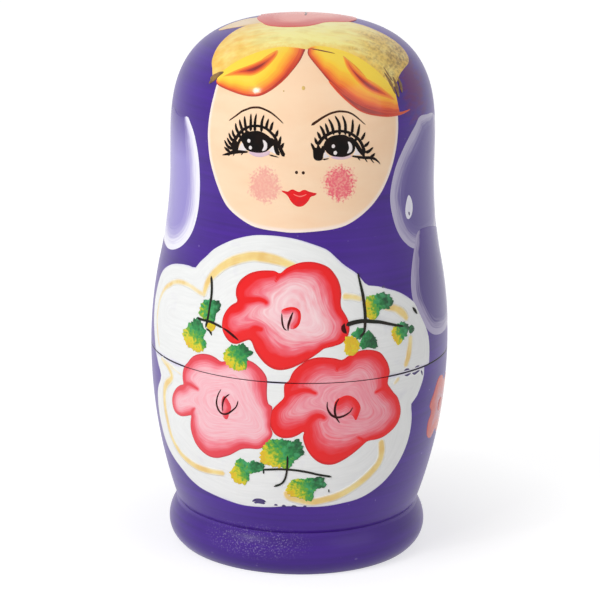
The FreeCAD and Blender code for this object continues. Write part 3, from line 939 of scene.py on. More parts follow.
BAND = pairs(
    -19.75, -16.75, -19.5, -14.5, -18, -11.5, -16, -9, -13.5, -6.5, -11.5, -5.25, -9.5, -5.0, -4, -4,
    4.5, -4, 6, -3.5, 8.5, -2.5, 11, -3, 14, -4.25, 17, -5.25, 20, -6.25, 22, -8, 22.5, -10.5, 21.75, -13.5,
    21, -16.5, 20.75, -19, 20, -20.6, 15, -19.6, 10, -18.4, 5, -17.8, 2, -18, 0.5, -19, -1.5, -18.6,
    -5, -18, -10, -18.4, -15, -18.9, -18.4, -19.3, -20, -18.6,
)
CROWN_LOBES = pairs(
    -8.6, -4.5, -8, -6.5, -6.8, -8.25, -4.5, -9.5, -2, -9.75, 0.5, -9.25, 2.5, -7.5, 4, -5.5, 5.5, -4.4,
    8, -3.4, 9.4, -1.5, 10.4, 1.5, 10.6, 4.5, 10, 7.4, 9, 9.2, 9.2, 11.6, 8.2, 14.2, 5.6, 16.2, 2.6, 16.8,
    -0.4, 15.8, -2.8, 14.2, -5.6, 15.2, -7.8, 14.2, -8.8, 12.2, -9, 9.4, -8.4, 6.6, -9.2, 4.2, -9.6, 1.2,
    -9.4, -1.6, -9, -3.4,
)
CROWN_LEAF = pairs(-17.6, -1, -16, -3, -13, -4.7, -9.6, -5, -7, -3.8, -6, -1, -8.6, 1.2, -11.6, 2, -15, 0.9)
CROWN_STAMEN = pairs(0, 9, 0.3, 6, 0.15, 2)
HAIR_SMUDGES = (
    (pairs(-21.4, -19.4, -20, -19.2, -18.4, -19.3, -17.2, -19.6), (0.4, 1.3, 1.1, 0.3)),
    (pairs(-20.8, -18.6, -19.6, -18.8, -18.6, -19.2), (0.4, 0.8, 0.4)),
    (pairs(17.2, -19, 19.4, -20.2, 21.4, -21.4), (0.3, 0.9, 0.4)),
    (pairs(19.4, -18.4, 21, -19.6, 22.6, -21.2), (0.4, 1.2, 0.4)),
    (pairs(20.6, -17.4, 21.8, -18.2, 23, -19.6), (0.3, 0.9, 0.4)),
    (pairs(16.8, -17.8, 18.2, -18.8, 19.8, -19.4), (0.2, 0.5, 0.3)),
)

# Belt chart
PANEL_TOP = pairs(
    -37.8, 0.17, -39, 3, -40.2, 5.4, -40.8, 7.8, -41, 10.2, -40.4, 12.6, -39.4, 15, -37.8, 17, -35, 18.6,
    -32.2, 19.6, -29, 20.2, -26.2, 20.4, -24.7, 20.3, -23.4, 21.8, -21.8, 23.2, -19.8, 25, -16.2, 27,
    -13, 28.2, -10, 28.9, -7, 29.1, -4, 29, -1, 28.6, 2, 27.8, 5.4, 26.6, 7.2, 25.2, 9.2, 23.4, 12, 21.5,
    13, 20.3, 14, 19.1, 15, 18.8, 17, 18.4, 19, 17.7, 21, 17, 22.5, 16.3, 24, 15.4, 25.5, 14.3, 26.4, 13.6,
    28, 11, 29.4, 8.2, 30.4, 5.8, 30.7, 3, 30.6, 0.17,
)
PANEL_LOW = pairs(
    28.8, -0.17, 28.7, -2.2, 27.8, -4.2, 26.6, -6, 25.1, -7.2, 25.5, -9, 25.8, -11.4, 25.7, -13.8,
    25.2, -16.2, 24.2, -18.6, 22.6, -21, 20.2, -23.4, 17.2, -25.2, 14, -26.4, 10, -27, 6, -27.4, 2, -27.4,
    -2, -27.3, -6, -27.8, -10, -28.1, -13, -28.1, -17, -27.6, -21, -27, -24.2, -26.4, -27.4, -25.2,
    -29.8, -23.8, -33, -22.2, -35.4, -20.6, -37, -18.6, -38, -15.8, -38.4, -13, -38, -10.2, -37, -7.8,
    -34.5, -4.6, -35.8, -2.6, -37, -1, -37.8, -0.17,
)
SCROLLS_TOP = (
    (pairs(-35, 1.4, -36.4, 3.8, -37.2, 6.2, -37.4, 8.6, -36.6, 11.4, -35, 13.6, -33, 15, -30.6, 16.2,
           -27.8, 16.7, -25, 16.5, -22.6, 15.9, -20.6, 15.6), (0.8, 1.3, 1.4, 1.2)),
    (pairs(-21, 15, -20.8, 17, -20, 19, -18.2, 21, -15.8, 22.8, -13, 24, -10.2, 24.7, -7.6, 24.7,
           -5.2, 24.4, -2.8, 23.8, -0.5, 23), (1.4, 2.2, 2.4, 2.4, 2.0)),
    (pairs(8.4, 17.2, 11, 16.9, 13, 16.2), (1.8, 1.6)),
    (pairs(17.4, 13.9, 18.6, 13.8, 20.4, 13.6, 22.5, 12.2, 23.8, 10.5), (0.5, 1.8, 2.2, 1.6)),
    (pairs(24.4, 7.6, 24.1, 5.5, 23.5, 3, 22.6, 1), (1.7, 1.8, 1.5)),
)
SCROLLS_LOW = (
    (pairs(21.3, -0.6, 20.6, -1.2, 19.6, -2), (1.2, 1.0)),
    (pairs(-34.2, -0.5, -31, -1.5, -29.5, -3, -30, -4, -31.8, -5.4, -33, -7.4, -33.4, -10.6, -33, -13.8,
           -32.2, -16.6, -30.2, -19, -27.4, -20.6, -23.4, -21.5, -19.4, -21.5, -15.8, -21.2),
     (1.2, 2.0, 1.8, 1.9, 1.6)),
    (pairs(-33, -0.5, -29.5, -1.2, -26, -2), (1.0, 0.7)),
    (pairs(17.6, -13.2, 18.2, -16.2, 17.8, -18.6, 16, -20.6, 13.6, -22.6, 10, -24.6, 6.8, -25.6, 3.2, -26.2,
           0.4, -25.8, -2, -25, -2.4, -23.4), (1.8, 2.2, 2.2, 2.0, 1.4)),
)
NICKS_TOP = (
    (pairs(22.4, 0.5, 23.2, 0.6, 24, 0.45), (0.2, 0.45, 0.2)),
    (pairs(25.6, 0.45, 26.4, 0.55, 27.1, 0.45), (0.2, 0.35, 0.2)),
    (pairs(17.6, 18.1, 18, 18.3, 18.4, 18.1), 0.4),
)
NICKS_LOW = (
    (pairs(-10, -26.9, -9.2, -26.4, -8, -26.3, -6.8, -26.6), (0.3, 0.7, 0.8, 0.5)),
    (pairs(-9.6, -27.1, -8.6, -26.9, -7, -27), 0.5), (pairs(-5, -27.2, -4.6, -27.1, -4.2, -27.2), 0.45),
    (pairs(-3.3, -27.3, -2.9, -27.2, -2.4, -27.3), 0.5), (pairs(-1.2, -27.3, -0.6, -27.2, 0, -27.3), 0.45),
    (pairs(1.4, -27.3, 1.9, -27.2, 2.2, -27.3), 0.4),
    (pairs(22.6, -0.5, 23.4, -0.65, 24.4, -0.45), (0.2, 0.5, 0.2)),
    (pairs(24.8, -0.5, 25.6, -0.8, 26.4, -0.6, 27.2, -0.5), (0.2, 0.6, 0.5, 0.2)),
    (pairs(27.6, -0.6, 28, -1.2, 28.2, -1.8), (0.3, 0.5, 0.2)),
)
ROSE_1 = {
    "centre": (-2.5, 13.2),
    "outline": pairs(
        -4.2, 21.8, -5.4, 22.2, -7, 22.2, -8.6, 22, -10, 21.6, -11.2, 21, -12.4, 20, -13.1, 19, -13.4, 17.8,
        -13.3, 16.6, -12.9, 15.5, -14, 14.7, -15, 13.6, -15.7, 12.2, -15.9, 10.8, -15.7, 9.4, -15, 8.2,
        -14, 7.3, -13, 7, -12, 7.2, -11, 7.7, -9.6, 8.1, -8.6, 6.2, -7.6, 4.8, -6.4, 3.6, -5, 2.8,
        -3.6, 2.6, -2, 2.9, -0.4, 3.6, 1, 4.4, 2.6, 5.4, 4, 6.4, 4.8, 7, 6.6, 7.4, 8.2, 7.9, 9.2, 8.8,
        9.8, 10, 9.9, 11.2, 9.6, 12.6, 9, 13.8, 8.4, 14.8, 8.2, 16, 8.4, 17.6, 8.3, 19, 7.9, 20.4,
        7.2, 21.6, 6.2, 22.8, 4.8, 23.6, 3, 24.1, 1.4, 24.2, -0.2, 24, -1.6, 23.5, -3, 22.8,
    ),
    "loads": (
        -8, 22, 1.7, -12.5, 19.5, 2.3, -13.2, 16.5, 2.0, -15.5, 13, 1.1, -15.8, 10, 1.1, -14, 7.5, 1.9,
        -10, 8, 2.0, -8.5, 6, 2.6, -6, 3.4, 2.6, -3, 2.7, 2.4, 0.5, 4.2, 1.8, 4, 6.6, 0.8, 7, 7.5, 0.9,
        9.6, 10, 1.5, 9.4, 12.5, 1.1, 8.3, 15, 1.4, 8.4, 18, 2.2, 7.5, 21.3, 1.9, 4.5, 23.7, 1.6,
        1.4, 24.2, 1.5, -2, 23.3, 0.9, -4, 22, 0.7,
    ),
    "borders": (
        (pairs(-12.9, 15.6, -11, 15.9, -9.4, 16.2, -8.2, 16.4, -7.2, 16.2, -6.8, 15.9), (1.0, 0.42)),
        (pairs(-9.6, 8.1, -9.4, 9.6, -8.8, 10.6, -7.6, 10.5), (1.1, 0.6)),
        (pairs(-4.2, 21.8, -4.7, 20.8, -5, 20.2), (0.5, 0.2)),
    ),
    "heart": pairs(
        -3.6, 14.6, -2.6, 15.1, -1.6, 15.3, -0.6, 15.1, 0.1, 14.4, 0.25, 13.2, 0, 12, -0.6, 11.2,
        -1.4, 10.9, -2.2, 11.2, -3, 12.4, -3.5, 13.6,
    ),
    "heart_centre": (-1.4, 13.3),
    "heart_edge": pairs(-2.8, 15, -1.6, 15.3, -0.6, 15.1, 0.1, 14.4, 0.25, 13.2, 0, 12, -0.6, 11.3),
    "heart_load": 0.75,
    "darks": (
        (pairs(-3.56, 14, -3.4, 12.2, -3, 11, -2.4, 10.6), 0.35),
        (pairs(-1.3, 14.4, -1.8, 13, -2.2, 11.6, -2.2, 10.5), 0.5),
        (pairs(8.9, 11.9, 8.6, 11.1, 8.8, 10.4, 9.3, 9.8), 0.9),
        (pairs(-15.7, 9.85, -14.6, 9.4, -13.2, 8.6, -12, 7.8), 0.5),
    ),
}
ROSE_2 = {
    "centre": (-15, -6.5),
    "outline": pairs(
        -25.5, -3.8, -25.7, -2.6, -25.6, -1.2, -25, 0.2, -24.2, 1, -23.2, 2.2, -22, 3.1, -20.4, 3.7,
        -18.6, 3.9, -17, 3.6, -15.6, 3, -14, 3.6, -12, 4.1, -10.2, 4.1, -9, 3.8, -7.8, 3, -6.8, 2,
        -6.1, 0.6, -6.1, -2, -6, -3.6, -5.7, -4.6, -5, -5.3, -5.4, -9, -5, -11, -6.4, -13.4, -7.8, -14.4,
        -10, -14.6, -11.6, -15, -13, -15.9, -14.4, -16.8, -16, -17.5, -17.4, -18, -19, -18.15, -20.6, -17.8,
        -22, -17, -23, -16, -23.6, -14.8, -24, -13.4, -24, -12, -23.8, -11, -23.6, -10, -25, -10.5,
        -26.6, -11, -28, -11, -29.1, -10.6, -29.7, -9.6, -29.8, -8.4, -29.4, -7.2, -28.6, -6, -27.6, -5,
        -26.4, -4.2,
    ),
    "loads": (
        -25.5, -2, 0.9, -24, 1, 1.0, -18.6, 3.9, 1.2, -14, 3.6, 0.5, -9, 3.8, 1.0, -6.1, 0, 1.2,
        -5.2, -5, 0.8, -5.2, -9, 0.4, -7.8, -14.4, 0.8, -12, -15.2, 1.1, -17, -17.9, 1.6, -21, -17.6, 1.4,
        -23.8, -14, 1.0, -24, -11, 0.7, -27, -11, 0.6, -29.7, -9, 0.7, -28.6, -6, 0.6,
    ),
    "borders": (
        (pairs(-25.5, -3.8, -23.6, -3.3, -21.4, -3.8), (0.6, 0.25)),
        (pairs(-23.6, -10, -23, -8.8, -22.4, -8.2), (0.6, 0.2)),
    ),
    "heart": pairs(
        -15, -4, -14, -4.8, -13.4, -6.2, -13.8, -7.4, -14.3, -8.8, -15, -8.8, -15.5, -7.8, -15.6, -5.4,
    ),
    "heart_centre": (-14.6, -6.4),
    "heart_edge": pairs(-15.2, -4, -14, -4.8, -13.4, -6.2, -13.8, -7.4, -14.4, -8.8),
    "heart_load": 1.0,
    "darks": (
        (pairs(-15.6, -2.7, -16.3, -4, -16.7, -5.6, -16.4, -7, -15.6, -7.8, -14.4, -7.7, -13.2, -6.8,
               -12.3, -5.8, -11.9, -4.5), 0.4),
        (pairs(-13.7, -3.4, -14.8, -4.4, -15.3, -5.8, -15.3, -7.4), 0.4),
    ),
}
ROSE_3 = {
    "centre": (8.5, -4.6),
    "outline": pairs(
        -2.8, -3, -2.8, -1.6, -2.7, -0.2, -1.9, 0.5, -1.3, 2, -0.6, 3, 0.5, 4, 1.9, 4.9, 3.6, 5.3,
        5.25, 5.25, 6.9, 5, 8.4, 4.6, 9.6, 5.3, 11.3, 6, 13.2, 6.2, 15, 5.9, 16.5, 5.2, 17.5, 4, 18.3, 2.6,
        18.75, 0.9, 18.5, 0, 18.3, -1.4, 18.8, -2.2, 19.8, -3.5, 20.9, -4.7, 21.7, -6.4, 22.1, -8,
        21.9, -9.7, 21.1, -11, 19.8, -12, 18.2, -12.8, 16.5, -13.1, 15, -13.1, 14.1, -13.35, 12.75, -14.5,
        11.1, -15.75, 9.4, -16.8, 7.75, -17.5, 6.3, -17.6, 4.8, -17.2, 3.4, -16.2, 2.2, -14.7, 1.4, -13,
        1, -11.4, 1.2, -10.1, 0, -10.9, -1.4, -11.5, -3.1, -11.6, -4.5, -10.9, -5.3, -9.5, -5.5, -7.8,
        -5.3, -6.4, -4.75, -5.3, -3.7, -4.1,
    ),
    "loads": (
        -2.7, -1, 1.5, -1.2, 2.2, 1.6, 2, 5, 1.5, 5.25, 5.25, 1.2, 8, 4.7, 1.3, 10, 5.4, 0.8,
        13.2, 6.2, 1.1, 17, 4.7, 1.6, 18.7, 1, 1.4, 18.5, -2, 1.2, 20.9, -4.7, 1.0, 22.1, -8, 1.1,
        21, -11, 1.4, 18, -12.8, 1.1, 14.1, -13.3, 0.8, 11, -15.8, 1.6, 7.7, -17.5, 2.4, 4.8, -17.2, 2.6,
        2, -14.5, 1.8, 1, -11.4, 1.6, -1.4, -11.5, 2.0, -4.5, -10.9, 1.8, -5.5, -7.8, 1.4, -4.7, -5.3, 1.0,
        -2.8, -3, 1.0,
    ),
    "borders": (
        (pairs(-2.8, -3, -1.2, -2, 0.5, -1.4, 1.9, -1.4, 3.2, -2), (0.8, 0.25)),
        (pairs(8.4, 4.6, 7.75, 3.6, 7.3, 2.6), (0.5, 0.2)),
        (pairs(18.8, -2.2, 16.8, -2.4, 15.6, -2.8), (0.6, 0.2)),
        (pairs(14.1, -13.35, 12.9, -12.4, 12.2, -12), (0.5, 0.2)),
        (pairs(1.2, -10.1, 2.3, -8, 3.4, -6.9, 4.4, -6.8, 5, -7.2), (1.0, 0.4)),
    ),
    "heart": pairs(
        7.3, -3.6, 8.4, -3, 9.6, -2.75, 11, -3.4, 12, -4.6, 12.4, -5.8, 12, -7.2, 11.5, -8.3, 11, -7.4,
        10.2, -7, 8.6, -7.3, 7.4, -6.6, 6.9, -5,
    ),
    "heart_centre": (9.6, -5),
    "heart_edge": pairs(
        7.5, -3.5, 8.4, -3, 9.6, -2.75, 11, -3.4, 12, -4.6, 12.4, -5.8, 12, -7.2, 11.5, -8.3,
    ),
    "heart_load": 1.25,
    "darks": (
        (pairs(5.6, -3.8, 5.6, -5.1, 6.3, -6.5, 7.5, -7.25, 9, -7, 10.25, -6.2, 10.7, -5.3), 0.45),
        (pairs(7.9, -3.25, 7.3, -4.3, 7.1, -5.75, 7.4, -7.2, 8.2, -8.5), 0.45),
    ),
}
# Leaves: the outline, the place where the leaf is dark green and the one where it is yellow
LEAVES_TOP = (
    (pairs(-20.7, 14.6, -18.1, 15, -16.5, 14.8, -16.7, 13.6, -17.3, 12.4, -17.6, 10.9, -18.4, 10.6,
           -21.5, 11.1, -21.7, 12.7), (-16.4, 14.6), (-23.4, 11)),
    (pairs(-22.1, 10.9, -23, 10, -24.5, 9, -25, 8, -25.9, 6.8, -25.6, 5.5, -24.3, 4.4, -22.6, 3.9, -20.8, 4,
           -19.6, 4.7, -19.3, 5.9, -20, 6.8, -19.7, 8.5, -20.6, 9.8), (-20.4, 10.8), (-24, 4.8)),
    (pairs(-19.4, 10.2, -18.2, 10.3, -17.4, 9.7, -17.8, 8.8, -19, 8.8), (-30, 8), (-20, 9.5)),
    (pairs(-13.9, 6.6, -12.3, 6.9, -10.6, 7.3, -10, 6.3, -8.7, 5.8, -10, 4.8, -10, 3.7, -10, 2.6,
           -10.6, 1.9, -12.1, 1.5, -14.1, 2.3, -15.2, 3.4, -15.3, 4.6, -14.7, 5.5), (-9.6, 7), (-13.8, 2.2)),
    (pairs(13.5, 16.4, 14.5, 16.8, 16, 17, 17.7, 17.3, 18.6, 16.8, 19.5, 16.3, 20.2, 15.4, 20.3, 14.6,
           19.4, 14.1, 18.3, 14.2, 17.2, 13.8, 16, 13.1, 15.2, 12.2, 14.2, 12.1, 13.4, 12.8, 13.3, 14.6),
     (18.4, 15.5), (13.4, 14)),
    (pairs(10.9, 10, 11.7, 10.7, 12.8, 10.6, 13, 9.5, 12.1, 8.4, 11, 8.9, 10.2, 9.6), (12.8, 8.4), (8, 13)),
    (pairs(12.9, 9.5, 13.9, 10, 14.8, 9.4, 15.5, 8.2, 15.9, 6.9, 15.4, 6.1, 13.9, 6.5, 12.3, 6.6,
           11.9, 7.6), (14.8, 7.6), (8.5, 8.5)),
    (pairs(9.3, 9.3, 10.3, 9.2, 11.5, 8.6, 12, 7.5, 11.8, 6.4, 10.9, 5.3, 10, 5.2, 9, 5.8, 8.8, 7.2),
     (15, 6.5), (11, 7.2)),
    (pairs(19.2, 9.3, 20, 9.9, 20.8, 10.2, 22.5, 10.6, 23.5, 9.9, 23.9, 8.7, 23.3, 7.8, 22.5, 7.4,
           21.8, 6.3, 20.9, 6, 19.9, 7, 19.3, 8.2), (23.2, 9.2), (20, 7.6)),
    (pairs(24.2, 9.45, 24.9, 9.2, 25.3, 8.5, 24.8, 7.7, 24.1, 8.2), (24.4, 7.6), (20, 13)),
)
LEAVES_LOW = (
    (pairs(-6.4, -12.8, -5.4, -12, -4, -11.8, -2.4, -12, -0.8, -12.3, 0.4, -12, 1.1, -13.2, 1.4, -14.6,
           0.6, -15.8, -0.6, -16.4, -1, -17.8, -1.8, -18.6, -3.2, -18.1, -4.2, -18.3, -6, -18, -7.4, -17.6,
           -7.8, -16.2, -7.2, -15, -7, -13.8), (0.8, -12.8), (-6.6, -17.2)),
    (pairs(-13, -17.6, -12, -17, -11, -17.4, -9.6, -17.8, -8.4, -17.4, -7.1, -17.4, -6.6, -18.6, -8, -19.2,
           -9.4, -19.6, -10, -20.4, -10.4, -21.4, -10.9, -22.6, -12.2, -23.1, -13.6, -22.9, -14.6, -21.8,
           -14.6, -20.6, -13.6, -19.2), (-7.6, -17.8), (-14, -21.4)),
    (pairs(-1.4, -21.2, -0.2, -20.6, 1.2, -20.8, 2.4, -20.3, 3.8, -20.4, 5.2, -20.2, 6, -21.4, 6.2, -22.4,
           5, -22.6, 3.6, -23.8, 3.5, -25, 3, -26, 1.2, -25.6, -0.8, -24.8, -2.2, -24, -2.2, -22.6),
     (5.8, -21), (-1.4, -24.8)),
)
STEMS_TOP = (
    (pairs(-19.7, 19.6, -19.2, 17.65, -19, 15.5, -19.1, 13.3, -19.3, 11.1, -19.7, 9.2), 0.5),
    (pairs(-22.2, 10.7, -20.6, 10.6, -18.9, 10.6, -16.9, 10.2, -15.7, 9.8), (0.45, 0.5, 0.4)),
    (pairs(25.4, 12.9, 26, 12.2, 26.6, 11.3), (0.5, 0.6, 0.3)),
    (pairs(12.2, 21.6, 12.6, 19.5, 13, 17.3, 13.2, 15.1, 13.3, 13.1, 13.2, 11.3, 12.9, 9.8, 11.9, 8.9),
     (0.3, 0.6, 0.6, 0.4)),
    (pairs(9.2, 11.45, 10.3, 11.8, 11.7, 12, 13.2, 12, 14.8, 11.7, 16.5, 11.4, 18.1, 10.9, 19.7, 10.4,
           21.4, 9.9, 22.5, 9.6), (0.9, 0.75, 0.6, 0.4)),
    (pairs(-19.6, 9, -18.6, 8.7, -18.1, 7.9), 0.4),
)
STEMS_LOW = (
    (pairs(-7.1, -19, -5.6, -18.8, -3.6, -18.6, -1.6, -18.6, 0.4, -18.8, 2.4, -19.2, 4.6, -19.8,
           7.2, -20.4), 0.4),
    (pairs(-2, -15.4, -2, -17.4, -2.2, -19.4, -2.6, -21, -3.4, -22, -4.9, -22.7), 0.4),
    (pairs(-7, -19, -7, -19.9), 0.3), (pairs(6.8, -23.3, 6.9, -24), 0.25),
)
LEFT_LOOP = pairs(
    -33.1, 49.5, -30.8, 49.9, -29.2, 48.7, -27.7, 47, -26.5, 44.5, -25.75, 41.6, -25.4, 38.25, -25.4, 35.3,
    -25.6, 32.4, -26.25, 29.5, -27.3, 27, -29, 24.9, -31.25, 23.25, -34.2, 22.1, -37.5, 21.6, -40.8, 21.8,
    -45, 22.4, -49.5, 24.4, -53, 28.4, -54.6, 33.6, -53.8, 39.4, -50.8, 44.6, -46, 48.4, -40, 50.2,
    -36.4, 49.6,
)
RIGHT_LOOP_HIGH = pairs(
    39.9, 50.1, 36.1, 50.4, 31.75, 50.6, 29.6, 49.2, 27.4, 47.6, 24.9, 45.1, 22.7, 42, 21.4, 38.25,
    21.1, 35.1, 21.75, 32, 23, 28.9, 24.9, 26.4, 28, 24.4, 32.5, 23.6, 38, 24, 43.5, 26.2, 47.8, 30.2,
    50, 35.4, 49.6, 41, 46.8, 46, 43.6, 48.8,
)
RIGHT_LOOP_LOW = pairs(
    30.4, 27.4, 28.3, 24.2, 26.75, 20.75, 25.8, 17.6, 25.8, 14.5, 27.1, 11.4, 29.25, 8.25, 31.75, 6.1,
    34.9, 5.1, 38.6, 4.8, 44.9, 5.4, 49.6, 8, 52.6, 12.4, 53.4, 17.6, 51.6, 21.6, 47.4, 24.6, 42, 26.2,
    36, 27.4,
)
LOOP_TEAR = pairs(27.1, 35.4, 28.4, 34, 28.6, 32.2, 27.8, 30.8, 26.6, 30.6, 25.9, 31.8, 26.1, 33.6)
TEAR_LINES = ((pairs(27, 32, 27.2, 31.6, 27.3, 31.2), 0.5),)
SIDE_FLOWER = pairs(
    33.6, -7.4, 35.8, -4.4, 38.8, -4.6, 40.8, -6.2, 43.8, -5.4, 46.2, -7.6, 45.8, -10.6, 44.6, -12.6,
    45.4, -15.4, 43.4, -17.8, 40.4, -17.6, 38.6, -16.2, 36, -17.6, 33.2, -16.2, 32.6, -13.2, 33.6, -11.2,
    32.3, -9.4,
)


# ------------------------------------------------------------------------------------------------- operators


class NestingDollOperator:
    """What the operators share: the colour settings, and each doll with how coarse its brushwork may be."""

    bl_options = {"REGISTER", "UNDO"}

    @property
    def colours(self):
        return bpy.context.scene.nesting_doll_colours

    def each_doll(self):
        """Dolls, the drawing's coarseness on each, and the parts made for that coarseness before."""
        made = {}
        for doll in find_dolls():
            detail = 1.0 if doll["number"] == 1 else INNER_DETAIL
            yield doll, detail, made.setdefault(detail, {})


class NESTINGDOLL_OT_wood(NestingDollOperator, bpy.types.Operator):
    """Give the turned pieces their bare limewood"""

    bl_idname = "nesting_doll.wood"
    bl_label = "Turned wood"

    def execute(self, context):
        material = wood_finish(self.colours)
        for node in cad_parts.values():
            node.data.materials.clear()
            node.data.materials.append(material)
        return {"FINISHED"}


class NESTINGDOLL_OT_coats(NestingDollOperator, bpy.types.Operator):
    """Lay the violet coats over the outside of every piece"""

    bl_idname = "nesting_doll.coats"
    bl_label = "Violet coats"

    def execute(self, context):
        material = violet_finish(self.colours)
        # Places along the outline: close together on the foot, at the seam and over the dome
        lower = np.concatenate([
            np.linspace(FOOT_ALONG, FOOT_ALONG + 10, 24), np.linspace(FOOT_ALONG + 10.3, -0.5, 36),
            [-0.21, -SEAM_EDGE],
        ])
        upper = np.concatenate([
            [SEAM_EDGE, 0.21], np.linspace(0.5, 60, 70), np.linspace(60.8, CROWN_ALONG, 42),
        ])
        low_out, low_in = self.both_sides(lower)
        top_out, top_in = self.both_sides(upper)
        top_out[-1, 0] = 0
        crown_in = np.array([[0, CROWN + COAT_SUNK]])
        outside = BELLY_RADIUS - SEAM_EDGE + COAT
        inside = BELLY_RADIUS - SEAM_EDGE - RIM_REACH
        low_rim = np.array([[inside, SEAM - RIM_GAP[1]], [outside, SEAM - RIM_GAP[0]]])
        top_rim = np.array([[outside, SEAM + RIM_GAP[0]], [inside, SEAM + RIM_GAP[1]]])
        whole = np.concatenate([top_out[::-1], low_out[::-1], low_in, top_in[1:], crown_in])
        bottom = np.concatenate([low_rim, low_out[::-1], low_in])
        top = np.concatenate([top_out[::-1], top_rim, top_in, crown_in])
        for doll, _, _ in self.each_doll():
            if doll["top"] == doll["bottom"]:
                self.add(doll, "coat", whole, material, doll["top"])
                continue
            self.add(doll, "coat_bottom", bottom, material, doll["bottom"])
            self.add(doll, "coat_top", top, material, doll["top"])
        return {"FINISHED"}

    def both_sides(self, along):
        """Profile of the coat's outside, and of its underside at every fourth place."""
        outside = np.stack(on_outline(along, COAT), 1)
        return outside, np.stack(on_outline(along[::4], COAT_SUNK), 1)

    def add(self, doll, name, profile, material, body):
        """One coat, as its profile turned round the axis at the doll's size."""
        columns = bpy.context.scene.nesting_doll_sizes.columns / (1 + FEWER_STEPS * (doll["number"] - 1))
        points, faces = lathe(profile, round(columns))
        level = points[:, 2]
        # Painted shade: the whole foot a little darker
        foot = np.where(level < FOOT_HEIGHT, FOOT_PAINTED_SHADE, 0)
        round_at = np.arctan2(points[:, 0], -points[:, 1]) * CHART_RADIUS
        along = np.interp(level, OUTLINE[:, 1], ALONG)
        marks = {
            # A dark band at the seam, painted shade in the gap with grime, and elsewhere the foot's painted
            # shade
            "rim": np.where(np.abs(level - SEAM) < SEAM_SHADE_AND_GRIME, 1, foot),
            "stain": 1 - self.from_patch(STAIN, round_at, along),
            # The foot's painted highlight, inside its patch
            "painted_foot_highlight": np.clip(2 - 2 * self.from_patch(FOOT_HIGHLIGHT_PATCH, round_at, level), 0, 1),
        }
        points = points * MM * doll["size"]
        points[:, 2] += doll["floor"]
        parts = [(points, faces, marks)]
        add_piece(f"doll_{doll['number']}_{name}", parts, material, body, tuple(marks))

    def from_patch(self, patch, x, y):
        """Distance from a patch's middle, 1 at its edge: root of (x / half width)^2 + (y / half height)^2."""
        (middle_x, middle_y), (half_width, half_height) = patch
        return np.hypot((x - middle_x) / half_width, (y - middle_y) / half_height)


class NESTINGDOLL_OT_loops(NestingDollOperator, bpy.types.Operator):
    """Paint the lace loops on both sides of the shawl and the flower at the side"""

    bl_idname = "nesting_doll.loops"
    bl_label = "Shawl loops"

    def execute(self, context):
        material = loop_finish(self.colours)
        petals = flower_finish("side_flower_paint", display(214, 84, 74), display(206, 132, 148), 5)
        dark = plain_finish("loop_dot_paint", display(70, 52, 110), display(50, 36, 80))
        for doll, detail, made in self.each_doll():
            if not made:
                made["loops"] = [
                    # The next to last argument is painted shade: none on the left loop, much on the two loops
                    # at the right
                    self.loop(LEFT_LOOP, slice(1, 21), (-40, 36), 1, detail, 0.0, (41, 51)),
                    self.loop(RIGHT_LOOP_HIGH, slice(0, 22), (35.5, 37), 1, detail, 0.8, (80, 90)),
                    self.loop(RIGHT_LOOP_LOW, slice(0, 14), (39.5, 17), 2, detail, 1.0, (18, 26)),
                    film(LOOP_TEAR, (27.2, 32.6), 2, detail=detail, spacing=0.5),
                ]
                made["dark"] = strokes(TEAR_LINES, 3, detail, 0.3)
                made["flower"] = [
                    film(SIDE_FLOWER, (39.1, -11), 1, detail=detail), dot(39.1, -11, 1.5, 3, detail),
                ]
            paint(doll, "loops", made["loops"], material, "top", ("edge", "depth", "thin"))
            paint(doll, "loop_dot", made["dark"], dark, "top")
            paint(doll, "side_flower", made["flower"], petals, "bottom")
        return {"FINISHED"}

    def loop(self, line, rim, centre, level, detail, depth, fades):
        """One loop. Its white edge follows part of the outline, and it thins out upwards between two heights.

        The white swells from a third of its width where it starts to all of it a fifth of the way along.
        """
        loaded = smooth(line[rim], 0.6)
        swell = np.clip(np.linspace(0.35, 4, len(line[rim])), 0, 1)
        load = noted_width(loaded, np.column_stack([line[rim], swell]))
        low, high = fades
        return film(
            line, centre, level, detail=detail, spacing=0.9, depth=depth,
            lines=lambda flat, _: distance(flat, loaded, load),
            thin=lambda flat: np.clip((flat[:, 1] - low) / (high - low), 0, 1),
        )


class NESTINGDOLL_OT_panel(NestingDollOperator, bpy.types.Operator):
    """Paint the white panel on the belly and its gold scrolls"""

    bl_idname = "nesting_doll.panel"
    bl_label = "Belly panel"

    def execute(self, context):
        white = white_finish(self.colours)
        gold = scroll_finish(self.colours)
        violet = plain_finish("nick_paint", display(60, 44, 100), display(84, 70, 124))
        for doll, detail, made in self.each_doll():
            if not made:
                made["white_top"] = [film(cornered(PANEL_TOP), (-5, 2), 2, detail=detail, spacing=1.1)]
                made["white_low"] = [film(cornered(PANEL_LOW), (-5, -2), 2, detail=detail, spacing=1.1)]
                made["gold_top"] = strokes(SCROLLS_TOP, 3, detail)
                made["gold_low"] = strokes(SCROLLS_LOW, 3, detail)
                made["nicks_top"] = strokes(NICKS_TOP, 3, detail, 0.3)
                made["nicks_low"] = strokes(NICKS_LOW, 3, detail, 0.3)
            paint(doll, "panel_top", made["white_top"], white, "top")
            paint(doll, "panel_bottom", made["white_low"], white, "bottom")
            paint(doll, "scrolls_top", made["gold_top"], gold, "top")
            paint(doll, "scrolls_bottom", made["gold_low"], gold, "bottom")
            paint(doll, "nicks_top", made["nicks_top"], violet, "top")
            paint(doll, "nicks_bottom", made["nicks_low"], violet, "bottom")
        return {"FINISHED"}


